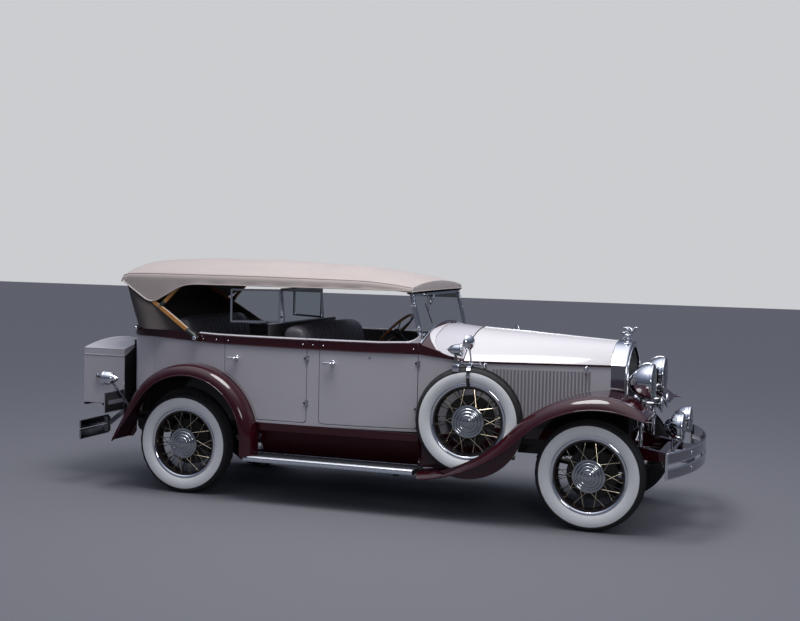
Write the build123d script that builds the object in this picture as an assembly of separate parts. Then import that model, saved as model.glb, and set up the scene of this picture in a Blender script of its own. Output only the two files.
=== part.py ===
from build123d import *
import math
import os

# Open four-door touring car of the 1920s on wire wheels, with a folding cloth top,
# a second windshield behind the front seat, two side-mounted spares and a trunk on a rack.
# Frame: +X forwards, +Y to the left, +Z up, ground at Z = 0, millimetres.

os.makedirs("parts", exist_ok=True)

# Axles and overall length
WHEELBASE = 3404
FRONT_OVERHANG = 763
REAR_OVERHANG = 1148
TRACK = 1422
FRONT_X = (WHEELBASE + FRONT_OVERHANG + REAR_OVERHANG) / 2 - FRONT_OVERHANG
REAR_X = FRONT_X - WHEELBASE
NOSE_X = FRONT_X + FRONT_OVERHANG
TAIL_X = REAR_X - REAR_OVERHANG

# Tyre and wire wheel
TYRE_RADIUS = 418.5
TYRE_WIDTH = 168
BEAD_RADIUS = 267
RIM_LIP = 21
RIM_WIDTH = 120
RIM_WALL = 7
SPOKE_PAIRS = 10
SPOKE_SIZE = 7
HUB_RADIUS = 48
HUB_CAP_RADIUS = 126
HUB_CAP_DEPTH = 42
DRUM_RADIUS = 190
DRUM_WIDTH = 55
SPINDLE_RADIUS = 20
RUNNING_FIT = 0.05
SEAT_GAP = 0.3
MOVING_GAP = 5

# Front axle and steering
KINGPIN_Y = 555
KINGPIN_RADIUS = 14
AXLE_BOSS_RADIUS = 28
AXLE_BOSS_HEIGHT = 90
AXLE_DROP = 55
STEER_ARM = 150
STEER_ARM_INSET = 25
TIE_ROD_RADIUS = 12

# Frame rails
RAIL_HEIGHT = 130
RAIL_FLANGE = 60
RAIL_WALL = 7
RAIL_TOP_Z = 620
RAIL_Y_FRONT = 370
RAIL_Y_REAR = 430

# Body
SIDE_RADIUS = 6250
BODY_WIDTH = 1530
BODY_WIDEST_X = FRONT_X - 2447
WALL = 35
PANEL_GAP = 5
SILL_Z = 640
FLOOR = 25
BELT_LOW_Z = 1255
BELT_TOP_Z = 1332
BELT_PROUD = 10
COWL_REAR_X = FRONT_X - 1372
COWL_X = FRONT_X - 1042
COWL_TOP_Z = 1476
COWL_EDGE_Z = 1330
COWL_SKIN = 12
BODY_REAR_X = REAR_X - 718

# Hood and radiator
HOOD_EDGE_Z = 1215
HOOD_REAR_Z = 1447
HOOD_FRONT_Z = 1382
HOOD_SKIN = 6
HOOD_SIDE_LOW_Z = 700
HOOD_BARREL = 8
HOOD_PIN = 4
LOUVRES = 28
LOUVRE_PITCH = 26.7
LOUVRE_REAR_X = FRONT_X - 809
LOUVRE_LOW_Z = 760
LOUVRE_TOP_Z = 1158
RADIATOR_X = FRONT_X + 68
RADIATOR_DEPTH = 125
RADIATOR_WIDTH = 660
RADIATOR_LOW_Z = 620

# Doors
FRONT_DOOR_LENGTH = 800
REAR_DOOR_LENGTH = 745
PILLAR_LENGTH = 112
DOOR_FRONT_X = FRONT_X - 1391
DOOR_LOW_Z = 665
DOOR_CORNER = 30
HINGE_RADIUS = 8
HINGE_PIN = 4
HINGE_LENGTH = 44
HINGE_HEIGHTS = (800, 1160)

# Fenders and running boards
FENDER_WIDTH_Y = 905
FENDER_SKIN = 6
FRONT_CROWN = 120
REAR_CROWN = 90
BOARD_TOP_Z = 365
BOARD_THICKNESS = 30
REAR_FENDER_Y = 915
FENDER_ROOT_Y = 560
REAR_TAIL_Z = 408
REAR_ARCH = (REAR_X + 75, TYRE_RADIUS + 69)
REAR_CREST_RADIUS = 603
REAR_LIP_RADIUS = 515
BOARD_INNER_Y = 620
BOARD_OUTER_Y = FENDER_WIDTH_Y - 13

# Spare wheels
SPARE_X = FRONT_X - 939
SPARE_Y = 757
SPARE_Z = 771
SPARE_TURN = 6
WELL_GAP = 12

# Top
TOP_HALF_WIDTH = 665
TOP_SKIN = 8


# Outlines and solids used by many pieces
def side_prism(face, y_low, y_high):
    """Solid from an outline drawn in X and Z, between two places across the car."""
    return Pos(0, y_low, 0) * extrude(Plane.XZ * face, amount=y_high - y_low, dir=(0, 1, 0))


def plan_prism(face, z_low, z_high):
    """Solid from an outline drawn in X and Y, between two heights."""
    return Pos(0, 0, z_low) * extrude(face, amount=z_high - z_low, dir=(0, 0, 1))


def end_prism(face, x_low, x_high):
    """Solid from an outline drawn in Y and Z, between two places along the car."""
    return Pos(x_low, 0, 0) * extrude(Plane.YZ * face, amount=x_high - x_low, dir=(1, 0, 0))


def block(x_range, y_range, z_range):
    """Rectangular solid from its three ranges."""
    sizes = [high - low for low, high in (x_range, y_range, z_range)]
    middles = [(high + low) / 2 for low, high in (x_range, y_range, z_range)]
    return Pos(*middles) * Box(*sizes)


def bar(start, end, width, height=None):
    """Square or flat bar between two points."""
    run = Vector(*end) - Vector(*start)
    profile = Rectangle(width, height or width)
    return extrude(Plane(origin=start, z_dir=run) * profile, amount=run.length)


def rod(start, end, radius):
    """Round bar between two points."""
    run = Vector(*end) - Vector(*start)
    return extrude(Plane(origin=start, z_dir=run) * Circle(radius), amount=run.length)


def side_y(x):
    """Half width of the body's outer face at a place along the car."""
    return BODY_WIDTH / 2 - SIDE_RADIUS + math.sqrt(SIDE_RADIUS ** 2 - (x - BODY_WIDEST_X) ** 2)


def mirrored(shape):
    """The same piece on the other side of the car."""
    return mirror(shape, about=Plane.XZ)


def both_sides(shape):
    """A piece and its mirror image, as one shape."""
    return Compound(children=[*shape.solids(), *mirrored(shape).solids()])


def gather(*shapes):
    """Separate solids that share one node."""
    return Compound(children=[solid for shape in shapes for solid in shape.solids()])


def save(shape, node):
    export_step(shape, f"parts/{node}.step")


def arc_chain(start, heading, arcs):
    """Tangent arcs from a start point: each row is radius (negative turns down) and sweep."""
    edges = []
    for radius, sweep in arcs:
        direction = (math.cos(math.radians(heading)), math.sin(math.radians(heading)))
        edges.append(JernArc(start, direction, abs(radius), math.copysign(sweep, radius)))
        start = edges[-1] @ 1
        heading += math.copysign(sweep, radius)
    return edges


# Wheel: the pieces are drawn with the wheel's middle at the origin and +Y outwards
def tyre():
    half_bead = RIM_WIDTH / 2 - RIM_WALL - SEAT_GAP
    lip = BEAD_RADIUS + RIM_LIP + 2
    side = [(lip, half_bead), (345, TYRE_WIDTH / 2), (404, TYRE_WIDTH / 2 - 22)]
    mirror_side = [(r, -y) for r, y in reversed(side)]
    profile = make_face([
        Line((BEAD_RADIUS, -half_bead), (BEAD_RADIUS, half_bead)),
        Line((BEAD_RADIUS, half_bead), side[0]),
        ThreePointArc(*side),
        ThreePointArc(side[2], (TYRE_RADIUS, 0), mirror_side[0]),
        ThreePointArc(*mirror_side),
        Line(mirror_side[2], (BEAD_RADIUS, -half_bead)),
    ])
    return revolve(profile, axis=Axis.Y)


def wire_wheel():
    half = RIM_WIDTH / 2
    seat = BEAD_RADIUS - SEAT_GAP
    lip = BEAD_RADIUS + RIM_LIP
    inner = seat - RIM_WALL
    rim = revolve(make_face(Polyline(
        (inner, -half), (inner, half), (lip, half), (lip, half - RIM_WALL),
        (seat, half - RIM_WALL), (seat, RIM_WALL - half), (lip, RIM_WALL - half), (lip, -half),
        close=True)), axis=Axis.Y)
    trim_ring = revolve(Pos(lip + 1, half + 4.5) * Circle(6), axis=Axis.Y)

    hub_inner = -DRUM_WIDTH - 38
    cap_y = half + 2
    flange = 8
    hub = revolve(make_face(Polyline(
        (SPINDLE_RADIUS + RUNNING_FIT, hub_inner), (HUB_RADIUS, hub_inner), (HUB_RADIUS, -30 - flange),
        (88, -30 - flange), (88, -30), (HUB_RADIUS, -30), (HUB_RADIUS, cap_y - 16),
        (100, cap_y - 16), (100, cap_y), (HUB_CAP_RADIUS, cap_y), (HUB_CAP_RADIUS, cap_y + 8),
        (HUB_CAP_RADIUS - 12, cap_y + 14), (92, cap_y + 14), (84, cap_y + 24), (62, cap_y + 28),
        (52, cap_y + HUB_CAP_DEPTH - 4), (30, cap_y + HUB_CAP_DEPTH), (0, cap_y + HUB_CAP_DEPTH),
        (0, cap_y + 12), (SPINDLE_RADIUS + RUNNING_FIT, cap_y + 12), close=True)), axis=Axis.Y)
    drum_back = -DRUM_WIDTH - 45
    drum = revolve(make_face(Polyline(
        (HUB_RADIUS - 2, -45), (DRUM_RADIUS, -45), (DRUM_RADIUS, drum_back), (DRUM_RADIUS - 9, drum_back),
        (DRUM_RADIUS - 9, -53), (HUB_RADIUS - 2, -53), close=True)), axis=Axis.Y)

    # Spoke rows: hub radius, hub place across, rim place across, turn between the two ends
    spokes = []
    for hub_radius, hub_y, rim_y, lean in ((84, -30 - flange / 2, -18, 24), (96, cap_y - 8, 20, 20)):
        for pair in range(SPOKE_PAIRS):
            middle = 360 * (pair + (0.5 if hub_y > 0 else 0)) / SPOKE_PAIRS
            for side in (-1, 1):
                hub_angle = math.radians(middle + side * 4)
                rim_angle = math.radians(middle + side * lean / 2 + side * 4)
                foot = (hub_radius * math.cos(hub_angle), hub_y, hub_radius * math.sin(hub_angle))
                tip_radius = inner + 3
                tip = (tip_radius * math.cos(rim_angle), rim_y, tip_radius * math.sin(rim_angle))
                spokes.append(bar(foot, tip, SPOKE_SIZE))
    return rim + trim_ring + hub + drum + spokes


WHEELS = {
    "front_left": (FRONT_X, TRACK / 2, TYRE_RADIUS),
    "front_right": (FRONT_X, -TRACK / 2, TYRE_RADIUS),
    "rear_left": (REAR_X, TRACK / 2, TYRE_RADIUS),
    "rear_right": (REAR_X, -TRACK / 2, TYRE_RADIUS),
}
one_tyre = tyre()
one_wheel = wire_wheel()
for corner, (x, y, z) in WHEELS.items():
    turn = Rot(0, 0, 0 if y > 0 else 180)
    save(Pos(x, y, z) * turn * one_tyre, f"tyre_{corner}")
    save(Pos(x, y, z) * turn * one_wheel, f"wheel_{corner}")

spare_place = Pos(SPARE_X, SPARE_Y, SPARE_Z) * Rot(0, 0, -SPARE_TURN)
save(both_sides(spare_place * one_tyre), "spare_tyres")
# Front axle: dropped beam between two kingpin bosses, and spring pads
AXLE_Z = TYRE_RADIUS
boss_half = AXLE_BOSS_HEIGHT / 2
beam_z = AXLE_Z - AXLE_DROP
boss = Pos(FRONT_X, KINGPIN_Y, AXLE_Z) * (
    Cylinder(AXLE_BOSS_RADIUS, AXLE_BOSS_HEIGHT) - Cylinder(KINGPIN_RADIUS + RUNNING_FIT, AXLE_BOSS_HEIGHT))
beam = end_prism(make_face(Polyline(
    (KINGPIN_Y - AXLE_BOSS_RADIUS + 6, AXLE_Z + 30), (KINGPIN_Y - 110, beam_z + 38),
    (-KINGPIN_Y + 110, beam_z + 38), (-KINGPIN_Y + AXLE_BOSS_RADIUS - 6, AXLE_Z + 30),
    (-KINGPIN_Y + AXLE_BOSS_RADIUS - 6, AXLE_Z - 30), (-KINGPIN_Y + 110, beam_z - 38),
    (KINGPIN_Y - 110, beam_z - 38), (KINGPIN_Y - AXLE_BOSS_RADIUS + 6, AXLE_Z - 30),
    close=True)), FRONT_X - 30, FRONT_X + 30)
SPRING_Y = RAIL_Y_FRONT - RAIL_FLANGE / 2
pad_top_z = beam_z + 50
pads = both_sides(block((FRONT_X - 50, FRONT_X + 50), (SPRING_Y - 35, SPRING_Y + 35), (beam_z + 30, pad_top_z)))
front_axle = beam + boss + mirrored(boss) + pads
save(front_axle, "front_axle")

# Knuckle: kingpin, fork, back plate, spindle and steering arm, drawn on the left
lug_top = boss_half + 2
spindle_tip = TRACK / 2 + RIM_WIDTH / 2
plate_y = TRACK / 2 - DRUM_WIDTH - 45 - MOVING_GAP
fork = block((-32, 32), (KINGPIN_Y - 26, plate_y - 2), (-lug_top - 22, lug_top + 22))
fork -= block((-33, 33), (0, KINGPIN_Y + AXLE_BOSS_RADIUS + 7), (-lug_top, lug_top))
fork = fork + block((-32, 32), (KINGPIN_Y + AXLE_BOSS_RADIUS + 7, plate_y - 2), (-lug_top, lug_top))
kingpin = Pos(0, KINGPIN_Y, 0) * Cylinder(KINGPIN_RADIUS, 2 * lug_top + 44)
plate = Pos(0, plate_y - 4, 0) * Rot(90, 0, 0) * Cylinder(DRUM_RADIUS + 4, 8)
spindle = rod((0, plate_y - 4, 0), (0, spindle_tip, 0), SPINDLE_RADIUS)
arm_tip = (-STEER_ARM, KINGPIN_Y - STEER_ARM_INSET, -lug_top - 11)
steer_arm = bar((-20, KINGPIN_Y, -lug_top - 11), arm_tip, 22)
arm_eye = Pos(*arm_tip) * Cylinder(20, 22)
knuckle = Pos(FRONT_X, 0, AXLE_Z) * (fork + kingpin + plate + spindle + steer_arm + arm_eye)
save(knuckle, "knuckle_left")
save(mirrored(knuckle), "knuckle_right")

# Tie rod: its eyes lie on the steering arms
tie_x = FRONT_X - STEER_ARM
tie_y = KINGPIN_Y - STEER_ARM_INSET
tie_z = AXLE_Z - lug_top - 22 - SEAT_GAP - TIE_ROD_RADIUS - 1
tie_rod = rod((tie_x, -tie_y, tie_z), (tie_x, tie_y, tie_z), TIE_ROD_RADIUS)
tie_eye = Pos(tie_x, tie_y, tie_z) * Cylinder(20, 2 * TIE_ROD_RADIUS + 2)
save(tie_rod + tie_eye + mirrored(tie_eye), "tie_rod")

# Rear axle: housing, stub shafts, back plates and drive shaft
diff = Pos(REAR_X, 0, AXLE_Z) * (Sphere(150) & Box(260, 300, 300))
AXLE_TUBE = 42
tube = rod((REAR_X, plate_y, AXLE_Z), (REAR_X, -plate_y, AXLE_Z), AXLE_TUBE)
rear_plate = Pos(REAR_X, plate_y - 4, AXLE_Z) * Rot(90, 0, 0) * Cylinder(DRUM_RADIUS + 4, 8)
rear_spindle = rod((REAR_X, plate_y - 4, AXLE_Z), (REAR_X, spindle_tip, AXLE_Z), SPINDLE_RADIUS)
ENGINE_REAR_X = FRONT_X - 950
GEARBOX_REAR_X = ENGINE_REAR_X - 520
GEARBOX_Z = 530
drive_shaft = rod((REAR_X + 100, 0, AXLE_Z), (GEARBOX_REAR_X, 0, GEARBOX_Z - 60), 30)
drive_shaft -= block((GEARBOX_REAR_X, NOSE_X), (-200, 200), (0, 1000))
rear_axle = diff + tube + rear_plate + mirrored(rear_plate) + rear_spindle + mirrored(rear_spindle)
save(rear_axle + drive_shaft, "rear_axle")

# Frame: side rails with a kick-up over the rear axle, cross members and front horns
# Rail places: X, top, depth
RAIL_PATH = (
    (REAR_X - 790, SILL_Z, 80), (REAR_X + 420, SILL_Z, 100), (REAR_X + 620, RAIL_TOP_Z, RAIL_HEIGHT),
    (FRONT_X - 260, RAIL_TOP_Z, RAIL_HEIGHT), (FRONT_X + 203, RAIL_TOP_Z, 115),
    (FRONT_X + 560, RAIL_TOP_Z - 60, 60),
)
rail_points = [(x, top) for x, top, depth in RAIL_PATH]
rail_points += [(x, top - depth) for x, top, depth in reversed(RAIL_PATH)]


def rail_at(x):
    """Top and underside of the rails at a place along the car."""
    for (x0, top0, depth0), (x1, top1, depth1) in zip(RAIL_PATH, RAIL_PATH[1:]):
        if x <= x1:
            share = (x - x0) / (x1 - x0)
            top = top0 + share * (top1 - top0)
            return top, top - depth0 - share * (depth1 - depth0)


rail_side = make_face(Polyline(*rail_points, close=True))
rail_inside = offset(rail_side, amount=-RAIL_WALL, kind=Kind.INTERSECTION)


def rail_plan(inset):
    """Plan of the left rail, wider apart at the rear."""
    outer_front = RAIL_Y_FRONT - inset
    outer_rear = RAIL_Y_REAR - inset
    inner_front = RAIL_Y_FRONT - RAIL_FLANGE - inset
    inner_rear = RAIL_Y_REAR - RAIL_FLANGE - inset
    return make_face(Polyline(
        (TAIL_X, outer_rear), (REAR_X + 900, outer_rear), (FRONT_X - 900, outer_front),
        (NOSE_X, outer_front), (NOSE_X, inner_front), (FRONT_X - 900, inner_front),
        (REAR_X + 900, inner_rear), (TAIL_X, inner_rear), close=True))


rail = side_prism(rail_side, 0, RAIL_Y_REAR + 10) & plan_prism(rail_plan(0), 0, 1000)
rail -= side_prism(rail_inside, 0, RAIL_Y_REAR + 10) & plan_prism(rail_plan(RAIL_WALL), 0, 1000)
frame_rails = rail + mirrored(rail)
# Cross members: X, length, depth and half width between the rails
for x, length, depth, reach in (
    (FRONT_X + 480, 60, 40, RAIL_Y_FRONT - 20), (RADIATOR_X + RADIATOR_DEPTH / 2, 100, 30, RAIL_Y_FRONT - 20),
    (GEARBOX_REAR_X - 150, 70, 90, RAIL_Y_FRONT - 20), (REAR_X + 480, 70, 60, RAIL_Y_REAR - 20),
    (REAR_X - 300, 70, 50, RAIL_Y_REAR - 20), (REAR_X - 755, 50, 50, RAIL_Y_REAR - 20),
):
    top = min(rail_at(x - length / 2)[0], rail_at(x + length / 2)[0])
    frame_rails += block((x - length / 2, x + length / 2), (-reach, reach), (top - depth, top))
save(frame_rails, "frame_rails")

# Engine and gearbox as one plain mass on four arms
engine = block((ENGINE_REAR_X, FRONT_X - 20), (-190, 190), (500, 1110))
engine += block((GEARBOX_REAR_X, ENGINE_REAR_X), (-130, 130), (GEARBOX_Z - 120, RAIL_TOP_Z - 10))
for x in (ENGINE_REAR_X + 60, FRONT_X - 320):
    engine += block((x - 30, x + 30), (-RAIL_Y_FRONT + 15, RAIL_Y_FRONT - 15), (RAIL_TOP_Z, RAIL_TOP_Z + 25))
save(engine, "engine_block")


# Leaf springs: one arched stack at each corner with an eye at each end
def leaf_spring(x, y, eye_z, seat_z, half_length, width):
    """Arched spring from its two eyes down to its seat on the axle."""
    thickness = 42
    top = ThreePointArc((x - half_length, eye_z), (x, seat_z + thickness), (x + half_length, eye_z))
    low = ThreePointArc((x + half_length, eye_z - 10), (x, seat_z), (x - half_length, eye_z - 10))
    ends = [Line(top @ 1, low @ 0), Line(low @ 1, top @ 0)]
    leaf = side_prism(make_face([top, ends[0], low, ends[1]]), y - width / 2, y + width / 2)
    for end in (-1, 1):
        leaf += Pos(x + end * half_length, y, eye_z - 5) * Rot(90, 0, 0) * Cylinder(22, width)
    return leaf


SPRING_WIDTH = 56
FRONT_SPRING_HALF = 470
REAR_SPRING_HALF = 620
front_eye_z = 470
rear_eye_z = 560
front_spring = leaf_spring(FRONT_X, SPRING_Y, front_eye_z, pad_top_z, FRONT_SPRING_HALF, SPRING_WIDTH)
for x in (FRONT_X - FRONT_SPRING_HALF, FRONT_X + FRONT_SPRING_HALF):
    low = min(rail_at(x - 14)[1], rail_at(x + 14)[1])
    front_spring += block((x - 14, x + 14), (SPRING_Y - SPRING_WIDTH / 2, SPRING_Y + SPRING_WIDTH / 2), (front_eye_z, low))
REAR_SPRING_Y = RAIL_Y_REAR + SPRING_WIDTH / 2 + 12
rear_spring = leaf_spring(REAR_X, REAR_SPRING_Y, rear_eye_z, AXLE_Z + AXLE_TUBE, REAR_SPRING_HALF, SPRING_WIDTH)
for x in (REAR_X - REAR_SPRING_HALF, REAR_X + REAR_SPRING_HALF):
    rear_spring += rod((x, RAIL_Y_REAR, rear_eye_z - 5), (x, REAR_SPRING_Y, rear_eye_z - 5), 14)
save(both_sides(gather(front_spring, rear_spring)), "leaf_springs")

# Exhaust and fuel tank
EXHAUST_Y = -245
EXHAUST_Z = 430
hanger_x = GEARBOX_REAR_X - 150
exhaust = rod((FRONT_X - 700, EXHAUST_Y, EXHAUST_Z), (REAR_X + 260, EXHAUST_Y, EXHAUST_Z), 26)
exhaust += rod((hanger_x - 100, EXHAUST_Y, EXHAUST_Z), (hanger_x - 700, EXHAUST_Y, EXHAUST_Z), 70)
exhaust += block((hanger_x - 12, hanger_x + 12), (EXHAUST_Y - 15, EXHAUST_Y + 15), (EXHAUST_Z, RAIL_TOP_Z - 90))
save(exhaust, "exhaust_pipe")
tank = side_prism(Pos(REAR_X - 530, 515) * RectangleRounded(350, 190, 60), -330, 330)
tank_top = 610
for x in (REAR_X - 610, REAR_X - 450):
    tank += block((x - 15, x + 15), (RAIL_FLANGE - RAIL_Y_REAR, RAIL_Y_REAR - RAIL_FLANGE), (tank_top - 6, SILL_Z - 1))
save(tank, "fuel_tank")


# Body plan: each side is one long arc from the hood seam to the rear corner
CORNER_START_X = REAR_X - 390
CORNER_END = (REAR_X - 640, 370)
corner_middle = (REAR_X - 572, 565)


def body_plan(front_x):
    """Closed outline of the body seen from above, from one place along it to the tail."""
    middle_x = (front_x + CORNER_START_X) / 2
    left = [
        ThreePointArc((front_x, side_y(front_x)), (middle_x, side_y(middle_x)),
                      (CORNER_START_X, side_y(CORNER_START_X))),
        ThreePointArc((CORNER_START_X, side_y(CORNER_START_X)), corner_middle, CORNER_END),
    ]
    right = [mirror(edge, about=Plane.XZ) for edge in left]
    rear = ThreePointArc(CORNER_END, (BODY_REAR_X, 0), (CORNER_END[0], -CORNER_END[1]))
    front = Line((front_x, side_y(front_x)), (front_x, -side_y(front_x)))
    return make_face([*left, *right, rear, front])


plan = body_plan(COWL_REAR_X)
plan_inside = offset(plan, amount=-WALL)
plan_proud = offset(plan, amount=BELT_PROUD)

# Top edge of the body: X, height
EDGE_POINTS = (
    (TAIL_X - 100, 1395), (REAR_X - 250, 1348), (REAR_X + 300, BELT_TOP_Z), (DOOR_FRONT_X - 300, BELT_TOP_Z),
    (COWL_REAR_X + 30, 1346),
)
high = 2000
above_edge = side_prism(make_face(
    [Polyline(*EDGE_POINTS), Polyline(EDGE_POINTS[-1], (EDGE_POINTS[-1][0], high),
                                      (EDGE_POINTS[0][0], high), EDGE_POINTS[0])]), -1000, 1000)

# Wheel houses that let the rear wheels into the body
HOUSE_RADIUS = TYRE_RADIUS + 50
HOUSE_Y = TRACK / 2 - TYRE_WIDTH / 2 - 45
house_outer = Pos(REAR_X, 450 + HOUSE_Y, AXLE_Z) * Rot(90, 0, 0) * Cylinder(HOUSE_RADIUS, 900)
house_skin = Pos(REAR_X, 450 + HOUSE_Y - 6, AXLE_Z) * Rot(90, 0, 0) * Cylinder(HOUSE_RADIUS + 6, 900)

shell_outside = plan_prism(plan, SILL_Z, 1420)
ring = shell_outside - plan_prism(plan_inside, 0, 2000) - above_edge
FLOOR_TOP = SILL_Z + FLOOR
door_way_half = side_y(COWL_REAR_X) - WALL
ring -= block((COWL_REAR_X - WALL - 1, COWL_REAR_X + 1), (-door_way_half, door_way_half), (FLOOR_TOP, high))
floor_plan = plan_prism(plan_inside, SILL_Z, FLOOR_TOP)
house_zone = plan_prism(plan_inside, SILL_Z, 1200)

# Doors: each outline is drawn in X and Z
def fender_line(margin):
    """Rear fender's arch over the body side, larger by a margin."""
    return Pos(*REAR_ARCH) * Circle(REAR_CREST_RADIUS + margin)


def door_outline(front_x, length, grow):
    """Outline of a door with rounded lower corners, larger by a margin."""
    low = DOOR_LOW_Z - grow
    width = length + 2 * grow
    face = Pos(front_x - length / 2, low + 500) * RectangleRounded(width, 1000, DOOR_CORNER)
    return face


REAR_DOOR_FRONT_X = DOOR_FRONT_X - FRONT_DOOR_LENGTH - PILLAR_LENGTH
DOORS = {
    "front": (DOOR_FRONT_X, FRONT_DOOR_LENGTH),
    "rear": (REAR_DOOR_FRONT_X, REAR_DOOR_LENGTH),
}
fender_guard = side_prism(fender_line(14), -1000, 1000)
fender_guard_tub = side_prism(fender_line(14 - PANEL_GAP), -1000, 1000)
door_cut_front = side_prism(door_outline(*DOORS["front"], PANEL_GAP), -1000, 1000)
door_cut_rear = side_prism(door_outline(*DOORS["rear"], PANEL_GAP), -1000, 1000) - fender_guard_tub

tub = ring - door_cut_front - door_cut_rear
tub += floor_plan
houses = (house_skin + mirrored(house_skin)) & house_zone
tub += houses
TONNEAU_X = FRONT_X - 2667
TONNEAU_HALF = 430
TONNEAU_LOW_Z = 1425
bulkhead = block((TONNEAU_X - 12, TONNEAU_X + 9), (-700, 700), (FLOOR_TOP, TONNEAU_LOW_Z + 10))
tub += bulkhead
tub -= gather(house_outer, mirrored(house_outer))

# Belt moulding: a proud band along the body's top edge that sweeps up round the cowl
band_low = side_prism(make_face(Polyline(
    (TAIL_X - 100, 1310), (REAR_X - 250, 1285), (REAR_X + 250, 1265), (DOOR_FRONT_X - 500, BELT_LOW_Z),
    (COWL_REAR_X, BELT_LOW_Z), (COWL_REAR_X, high), (TAIL_X - 100, high), close=True)), -1000, 1000)
band = (plan_prism(plan_proud, SILL_Z, 1420) - plan_prism(plan, 0, 2000)) & band_low
band -= above_edge
band -= block((COWL_REAR_X, NOSE_X), (-1000, 1000), (0, 2000))
door_band_front = band & side_prism(door_outline(*DOORS["front"], 0), -1000, 1000)
door_band_rear = band & side_prism(door_outline(*DOORS["rear"], 0), -1000, 1000)
belt = band - door_cut_front - door_cut_rear


def hinge(x, y, low_z):
    """Door side and body side of one hinge: barrels on one pin."""
    third = HINGE_LENGTH / 3
    door_barrel = Pos(x, y, low_z + HINGE_LENGTH / 2) * (
        Cylinder(HINGE_RADIUS, third - 0.6) - Cylinder(HINGE_PIN + RUNNING_FIT, third))
    door_leaf = block((x - 22, x - HINGE_PIN - 1), (y - 16, y + 2),
                      (low_z + third + 0.3, low_z + 2 * third - 0.3))
    body_barrels = [Pos(x, y, low_z + third * n) * Cylinder(HINGE_RADIUS, third) for n in (0.5, 2.5)]
    body_leaves = [block((x + 1, x + 15), (y - 18, y + 2), (low_z + third * n, low_z + third * (n + 1)))
                   for n in (0, 2)]
    pin = Pos(x, y, low_z + HINGE_LENGTH / 2) * Cylinder(HINGE_PIN, HINGE_LENGTH)
    return door_barrel + door_leaf, body_barrels[0] + body_barrels[1] + body_leaves + pin


def handle(x, z):
    """Chrome T handle on the door's outer face."""
    y = side_y(x)
    stem = rod((x, y - 5, z), (x, y + 38, z), 8)
    grip = rod((x - 62, y + 38, z), (x + 30, y + 38, z), 8)
    return stem + grip


HANDLE_Z = 1155
for name, (front_x, length) in DOORS.items():
    outline = door_outline(front_x, length, 0)
    panel = ring & side_prism(outline, 0, 1000)
    band_piece = (door_band_front if name == "front" else door_band_rear) & block(
        (TAIL_X, NOSE_X), (0, 1000), (0, 2000))
    door = panel + band_piece
    if name == "rear":
        door -= fender_guard
    hinge_x = front_x + PANEL_GAP / 2
    hinge_y = side_y(hinge_x) + HINGE_RADIUS + 1
    for low_z in HINGE_HEIGHTS:
        door_side, body_side = hinge(hinge_x, hinge_y, low_z)
        door += door_side
        tub += body_side
        tub += mirrored(body_side)
    door += handle(front_x - length + 110, HANDLE_Z)
    save(door, f"door_{name}_left")
    save(mirrored(door), f"door_{name}_right")
save(tub, "body_tub")


# Cowl: from the windshield to the hood seam
def dome_section(half_width, edge_z, top_z, low_z):
    """Upright sides with an arc across the top, drawn in Y and Z."""
    return make_face([
        ThreePointArc((-half_width, edge_z), (0, top_z), (half_width, edge_z)),
        Polyline((half_width, edge_z), (half_width, low_z), (-half_width, low_z), (-half_width, edge_z)),
    ])


def dome(rear, front):
    """Loft between two dome sections: each is X, half width, edge height, top height, low height."""
    return loft([Plane.YZ.offset(row[0]) * dome_section(*row[1:]) for row in (rear, front)], ruled=True)


cowl_half_rear = side_y(COWL_REAR_X)
cowl_half_front = side_y(COWL_X)
radiator_half = RADIATOR_WIDTH / 2
cowl_rear_row = (COWL_REAR_X, cowl_half_rear, COWL_EDGE_Z, COWL_TOP_Z, SILL_Z)
cowl_front_row = (COWL_X, cowl_half_front, HOOD_EDGE_Z, HOOD_REAR_Z, SILL_Z)
FIREWALL = 12
cowl_outside = dome(cowl_rear_row, cowl_front_row)
cowl_inside = dome(
    (COWL_REAR_X - 1, cowl_half_rear - COWL_SKIN, COWL_EDGE_Z - 4, COWL_TOP_Z - COWL_SKIN, SILL_Z - 50),
    (COWL_X - FIREWALL, cowl_half_front - COWL_SKIN, HOOD_EDGE_Z - 4, HOOD_REAR_Z - COWL_SKIN, SILL_Z - 50))
cowl_floor = cowl_inside & block((COWL_REAR_X, COWL_X), (-1000, 1000), (SILL_Z, FLOOR_TOP))
cowl = cowl_outside - cowl_inside + cowl_floor
save(cowl, "cowl")

# Belt moulding on the cowl: a raised band that curves from the sides over the top
cowl_proud = dome(
    (COWL_REAR_X, cowl_half_rear + BELT_PROUD, COWL_EDGE_Z + 3, COWL_TOP_Z + BELT_PROUD, SILL_Z),
    (COWL_X, cowl_half_front + BELT_PROUD, HOOD_EDGE_Z + 3, HOOD_REAR_Z + BELT_PROUD, SILL_Z))
sweep_zone = side_prism(make_face([
    Polyline((COWL_REAR_X + 65, high), (COWL_REAR_X + 65, 1400)),
    ThreePointArc((COWL_REAR_X + 65, 1400), (COWL_REAR_X + 130, 1300), (COWL_REAR_X + 260, 1245)),
    Polyline((COWL_REAR_X + 260, 1245), (COWL_X, 1232), (COWL_X, 1212), (COWL_REAR_X, BELT_LOW_Z),
             (COWL_REAR_X, high), (COWL_REAR_X + 65, high)),
]), -1000, 1000)
cowl_band = (cowl_proud - cowl_outside) & sweep_zone
hood_bead = plan_prism(make_face(Polyline(
    (COWL_X, cowl_half_front + 7), (RADIATOR_X, radiator_half + 7), (RADIATOR_X, radiator_half),
    (COWL_X, cowl_half_front), close=True)), HOOD_EDGE_Z - 14, HOOD_EDGE_Z)
save(gather(belt, cowl_band, hood_bead, mirrored(hood_bead)), "belt_moulding")

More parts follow.
